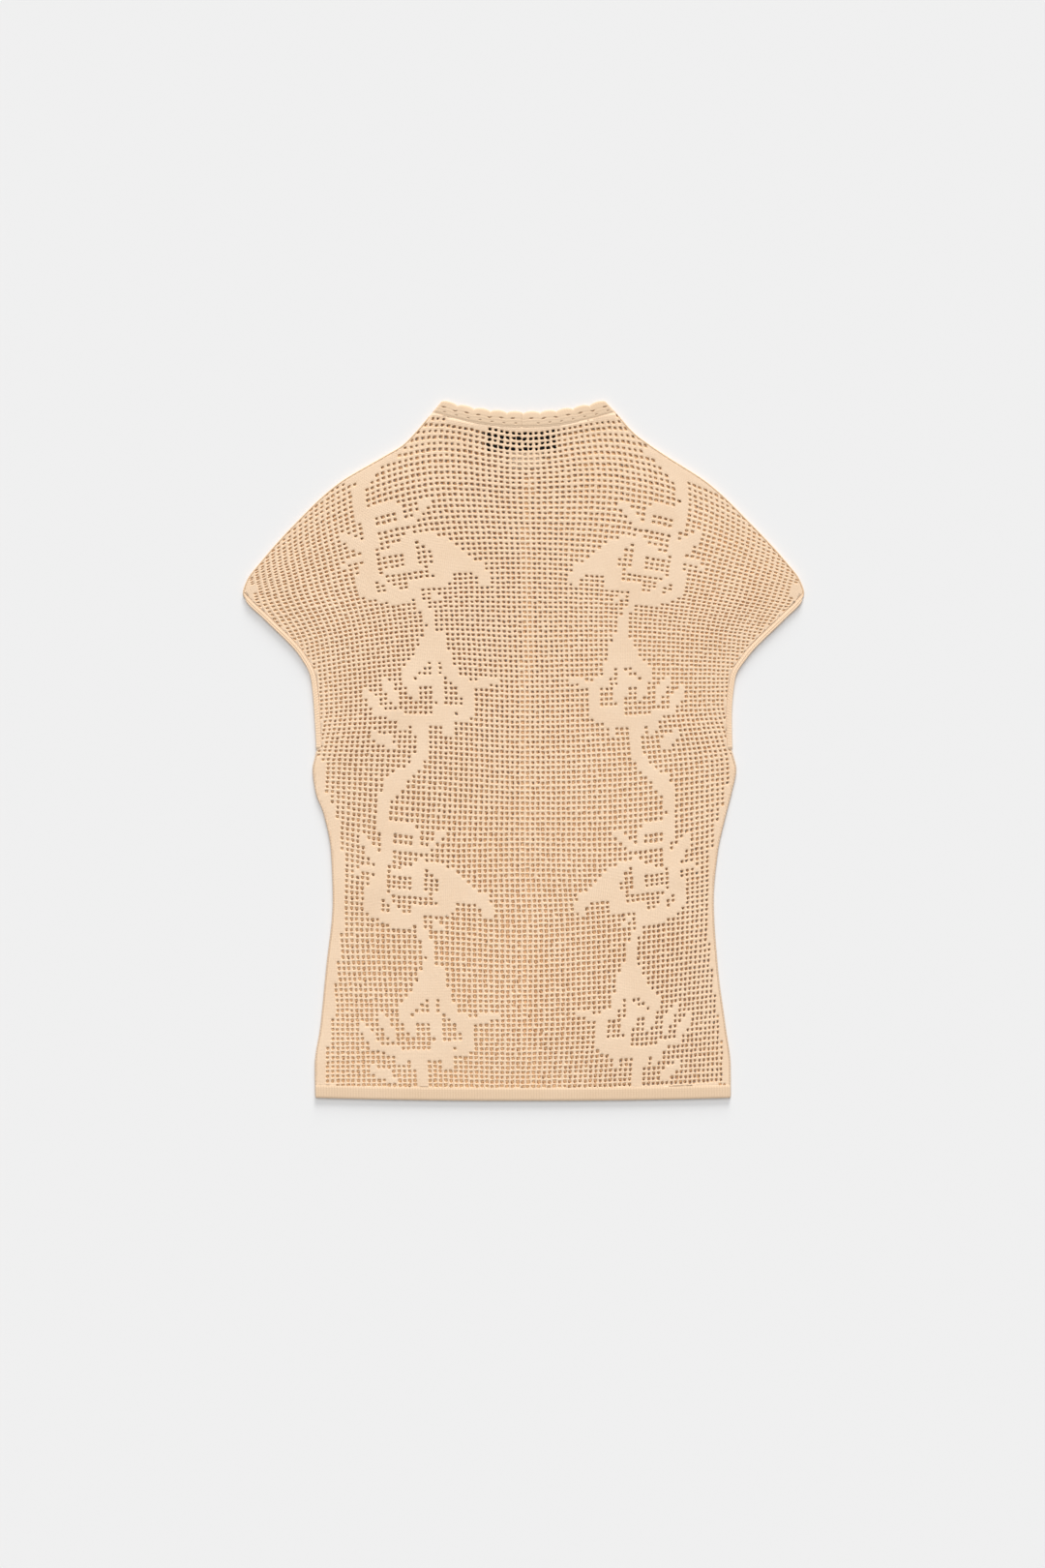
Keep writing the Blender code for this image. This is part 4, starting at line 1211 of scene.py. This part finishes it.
def linked_edge(name, side, low, high, width, material):
    """An oval section carried along the outline, its width pulsing once a stitch like a twisted cord."""
    heights = np.arange(low, high, LINK_STEP)
    line = np.stack([edge(side, heights), heights], axis=1)
    run = np.gradient(line, axis=0)
    run /= np.linalg.norm(run, axis=1, keepdims=True)
    inward = -side * np.stack([run[:, 1], -run[:, 0]], axis=1)
    turn = np.linspace(0, 2 * math.pi, LINK_SIDES + 1)[:-1]
    t, a = np.meshgrid(np.arange(len(heights)), turn, indexing="ij")
    swell = 1 + SWELL * np.sin(2 * math.pi * t / SWELL_STEPS + a)
    taper = np.minimum(np.minimum(t, len(heights) - 1 - t) / TAPER_STEPS, 1.0) ** 0.5
    half_width, half_height = width * swell * taper, LINK_HALF_HEIGHT * swell * taper
    away = LINK_INSET * width + half_width * np.cos(a)
    plan = line[:, None] + inward[:, None] * away[..., None]
    z = LINK_MIDDLE + half_height * np.sin(a)
    points = np.concatenate([plan, z[..., None]], axis=-1).reshape(-1, 3)
    uv = np.stack([a * 0.6, t * 0.6], axis=-1).reshape(-1, 2)
    quads = grid_quads(len(heights), len(turn), False, True)
    # Painted shade: darker where the cord narrows, lighter where it swells.
    depth = (LINK_TONE - SWELL_TONE * (swell - 1)).ravel()
    return mesh_piece(name, points, quads if side < 0 else quads[:, ::-1], uv, np.clip(depth, 0, 1),
                      material)


LINKS = [
    # (place, from height, to height, half width, yarn)
    ("_side_link", 2.6, UNDERARM_HEIGHT - 1.0, 1.0, SEAM_YARN),
    ("_shoulder_link", 440.0, 603.5, 0.75, SHOULDER_PAINTED_SHADE_YARN),
]
linked = [linked_edge(side_name + place, side, low, high, width, link_yarn)
          for side, side_name in ((-1, "left"), (1, "right")) for place, low, high, width, link_yarn in LINKS]

# %% [markdown]
# ## The label and the tab
# A black woven label sits inside the back of the neck, and a pale tab hangs under it. They are seen only
# as black and pale holes in the net. Both are blank. Tape is woven in fine crosswise ribs, so the surface
# carries those, and its two long rims are a little thicker, as a selvedge is.

# %% Tape material
RIB_SCALE = 500.0
THREAD_SCALE = 900.0


def tape(name, colour, thread):
    """Woven tape: fine crosswise ribs as bump and as a slight change of tone."""
    n = Nodes(name)
    place = n.add("ShaderNodeTexCoord").outputs["Object"]
    ribs = n.add("ShaderNodeTexWave", {"bands_direction": "Y"}, Vector=place, Scale=RIB_SCALE, Distortion=0.6)
    fuzz = n.noise(place, THREAD_SCALE, FUZZ_DETAIL)
    tone = n.math("MULTIPLY", n.math("ADD", ribs.outputs["Fac"], fuzz), 0.5)
    n.put(n.shader.inputs["Base Color"], n.mix(tone, colour, thread))
    n.shader.inputs["Roughness"].default_value = 0.7
    n.shader.inputs["Specular IOR Level"].default_value = 0.05
    relief = n.add("ShaderNodeBump", Strength=0.4, Distance=0.0002, Height=tone)
    n.put(n.shader.inputs["Normal"], relief.outputs[0])
    return n.material


LABEL_TAPE = tape("black_label_tape", (0.003, 0.003, 0.003, 1.0), (0.009, 0.008, 0.008, 1.0))
TAB_TAPE = tape("pale_tab_tape", (0.80, 0.66, 0.50, 1.0), (0.86, 0.73, 0.57, 1.0))
print("tapes:", LABEL_TAPE.name, TAB_TAPE.name)

# %% Build the label and the tab
TAPE_POINTS = (49, 19)
SOFT_CORNER = 0.25
SELVEDGE_REACH = 0.06
BODY_THICKNESS, SELVEDGE_EXTRA = 0.75, 0.25
CURLS = 1.5


def woven_tape(name, box, thickness, wave, material, node):
    """A slab on the front, with a low wave along it, thicker long rims and soft corners."""
    s, w = np.meshgrid(*(np.linspace(0, 1, count) for count in TAPE_POINTS), indexing="xy")
    corner = SOFT_CORNER * (1 - 4 * (s - 0.5) ** 2)
    across = box["left"] + s * (box["right"] - box["left"])
    height = box["low"] + w * (box["high"] - box["low"]) + corner * (w - 0.5)
    selvedge = bell(np.minimum(w, 1 - w), SELVEDGE_REACH)
    curl = wave * (0.5 + 0.5 * np.cos(2 * math.pi * s * CURLS)) * w
    bottom_z = LAYER + REST_GAP + curl
    top_z = bottom_z + thickness * (BODY_THICKNESS + SELVEDGE_EXTRA * selvedge)
    top = np.stack([across, height, top_z], axis=-1)
    bottom = np.stack([across, height, bottom_z], axis=-1)
    uv = np.stack([s * 30, w * 10], axis=-1)
    return slab(name, top, bottom, uv, np.zeros(s.shape), material, (node,))


neck_label = woven_tape("blank_neck_label", LABEL, 0.8, 0.15, LABEL_TAPE, "neck_label")
size_tab = woven_tape("blank_size_tab", SIZE_TAB, 0.7, 0.2, TAB_TAPE, "size_tab")

# %% [markdown]

# %% [markdown]
# ## Floor, light and camera
# The top lies on a pale, even surface. A white sky and a broad soft lamp overhead light it evenly, and a
# low soft lamp beyond the neck adds the thin shadow under the hem. The camera hangs straight above, with a
# long lens to keep the sides from leaning, and frames the whole surface as the picture does.

# %% The pale surface
FLOOR_HALF = 4.0
FLOOR_DROP = 0.00004
FLOOR_TURNS = ((-1, -1), (1, -1), (1, 1), (-1, 1))
FLOOR_CORNERS = [(x * FLOOR_HALF, y * FLOOR_HALF, -FLOOR_DROP) for x, y in FLOOR_TURNS]
floor_mesh = bpy.data.meshes.new("floor")
floor_mesh.from_pydata(FLOOR_CORNERS, [], [(0, 1, 2, 3)])
floor = bpy.data.objects.new("floor", floor_mesh)
bpy.context.scene.collection.objects.link(floor)
floor_look = Nodes("pale_surface")
floor_look.shader.inputs["Base Color"].default_value = (0.80, 0.80, 0.80, 1.0)
floor_look.shader.inputs["Roughness"].default_value = 0.95
floor_look.shader.inputs["Specular IOR Level"].default_value = 0.0
floor_mesh.materials.append(floor_look.material)
print("surface:", 2 * FLOOR_HALF, "m wide")

# %% Sky and lamps
SKY_STRENGTH = 0.35
LAMPS = [
    # (lamp, strength, height above the horizon, turn, width of its disc, all in degrees)
    ("overhead_softbox", 1.46, 70.0, 10.0, 50.0),
    ("low_softbox", 2.90, 19.0, -6.0, 25.0),
]
world = bpy.data.worlds.new("studio")
bpy.context.scene.world = world
world.use_nodes = True
world.node_tree.nodes["Background"].inputs["Color"].default_value = (1.0, 1.0, 1.0, 1.0)
world.node_tree.nodes["Background"].inputs["Strength"].default_value = SKY_STRENGTH
for lamp_name, strength, lamp_height, turn, disc in LAMPS:
    lamp_data = bpy.data.lights.new(lamp_name, "SUN")
    lamp_data.energy = strength
    lamp_data.angle = math.radians(disc)
    lamp = bpy.data.objects.new(lamp_name, lamp_data)
    lamp.rotation_euler = (math.radians(lamp_height - 90.0), 0.0, math.radians(turn))
    bpy.context.scene.collection.objects.link(lamp)
print("lamps:", [row[0] for row in LAMPS])

# %% The camera
MM_A_PIXEL = 0.85
IMAGE_WIDTH, IMAGE_HEIGHT = 1080, 1620
HEM_LINE_PIXEL = 1137.0
MIDDLE_PIXEL = 541.0
CAMERA_HEIGHT = 4.0
view_x = (IMAGE_WIDTH / 2 - MIDDLE_PIXEL) * MM_A_PIXEL * MM
view_y = ((HEM_LINE_PIXEL - IMAGE_HEIGHT / 2) * MM_A_PIXEL - TOTAL_LENGTH / 2) * MM
camera_data = bpy.data.cameras.new("camera")
camera_data.sensor_fit = "VERTICAL"
camera_data.sensor_height = 36.0
camera_data.lens = camera_data.sensor_height * CAMERA_HEIGHT / (IMAGE_HEIGHT * MM_A_PIXEL * MM)
camera_data.clip_end = 50.0
camera = bpy.data.objects.new("camera", camera_data)
camera.location = (view_x, view_y, CAMERA_HEIGHT)
bpy.context.scene.collection.objects.link(camera)
bpy.context.scene.camera = camera
bpy.context.scene.view_settings.view_transform = "Standard"
print("lens:", round(camera_data.lens, 1), "mm")
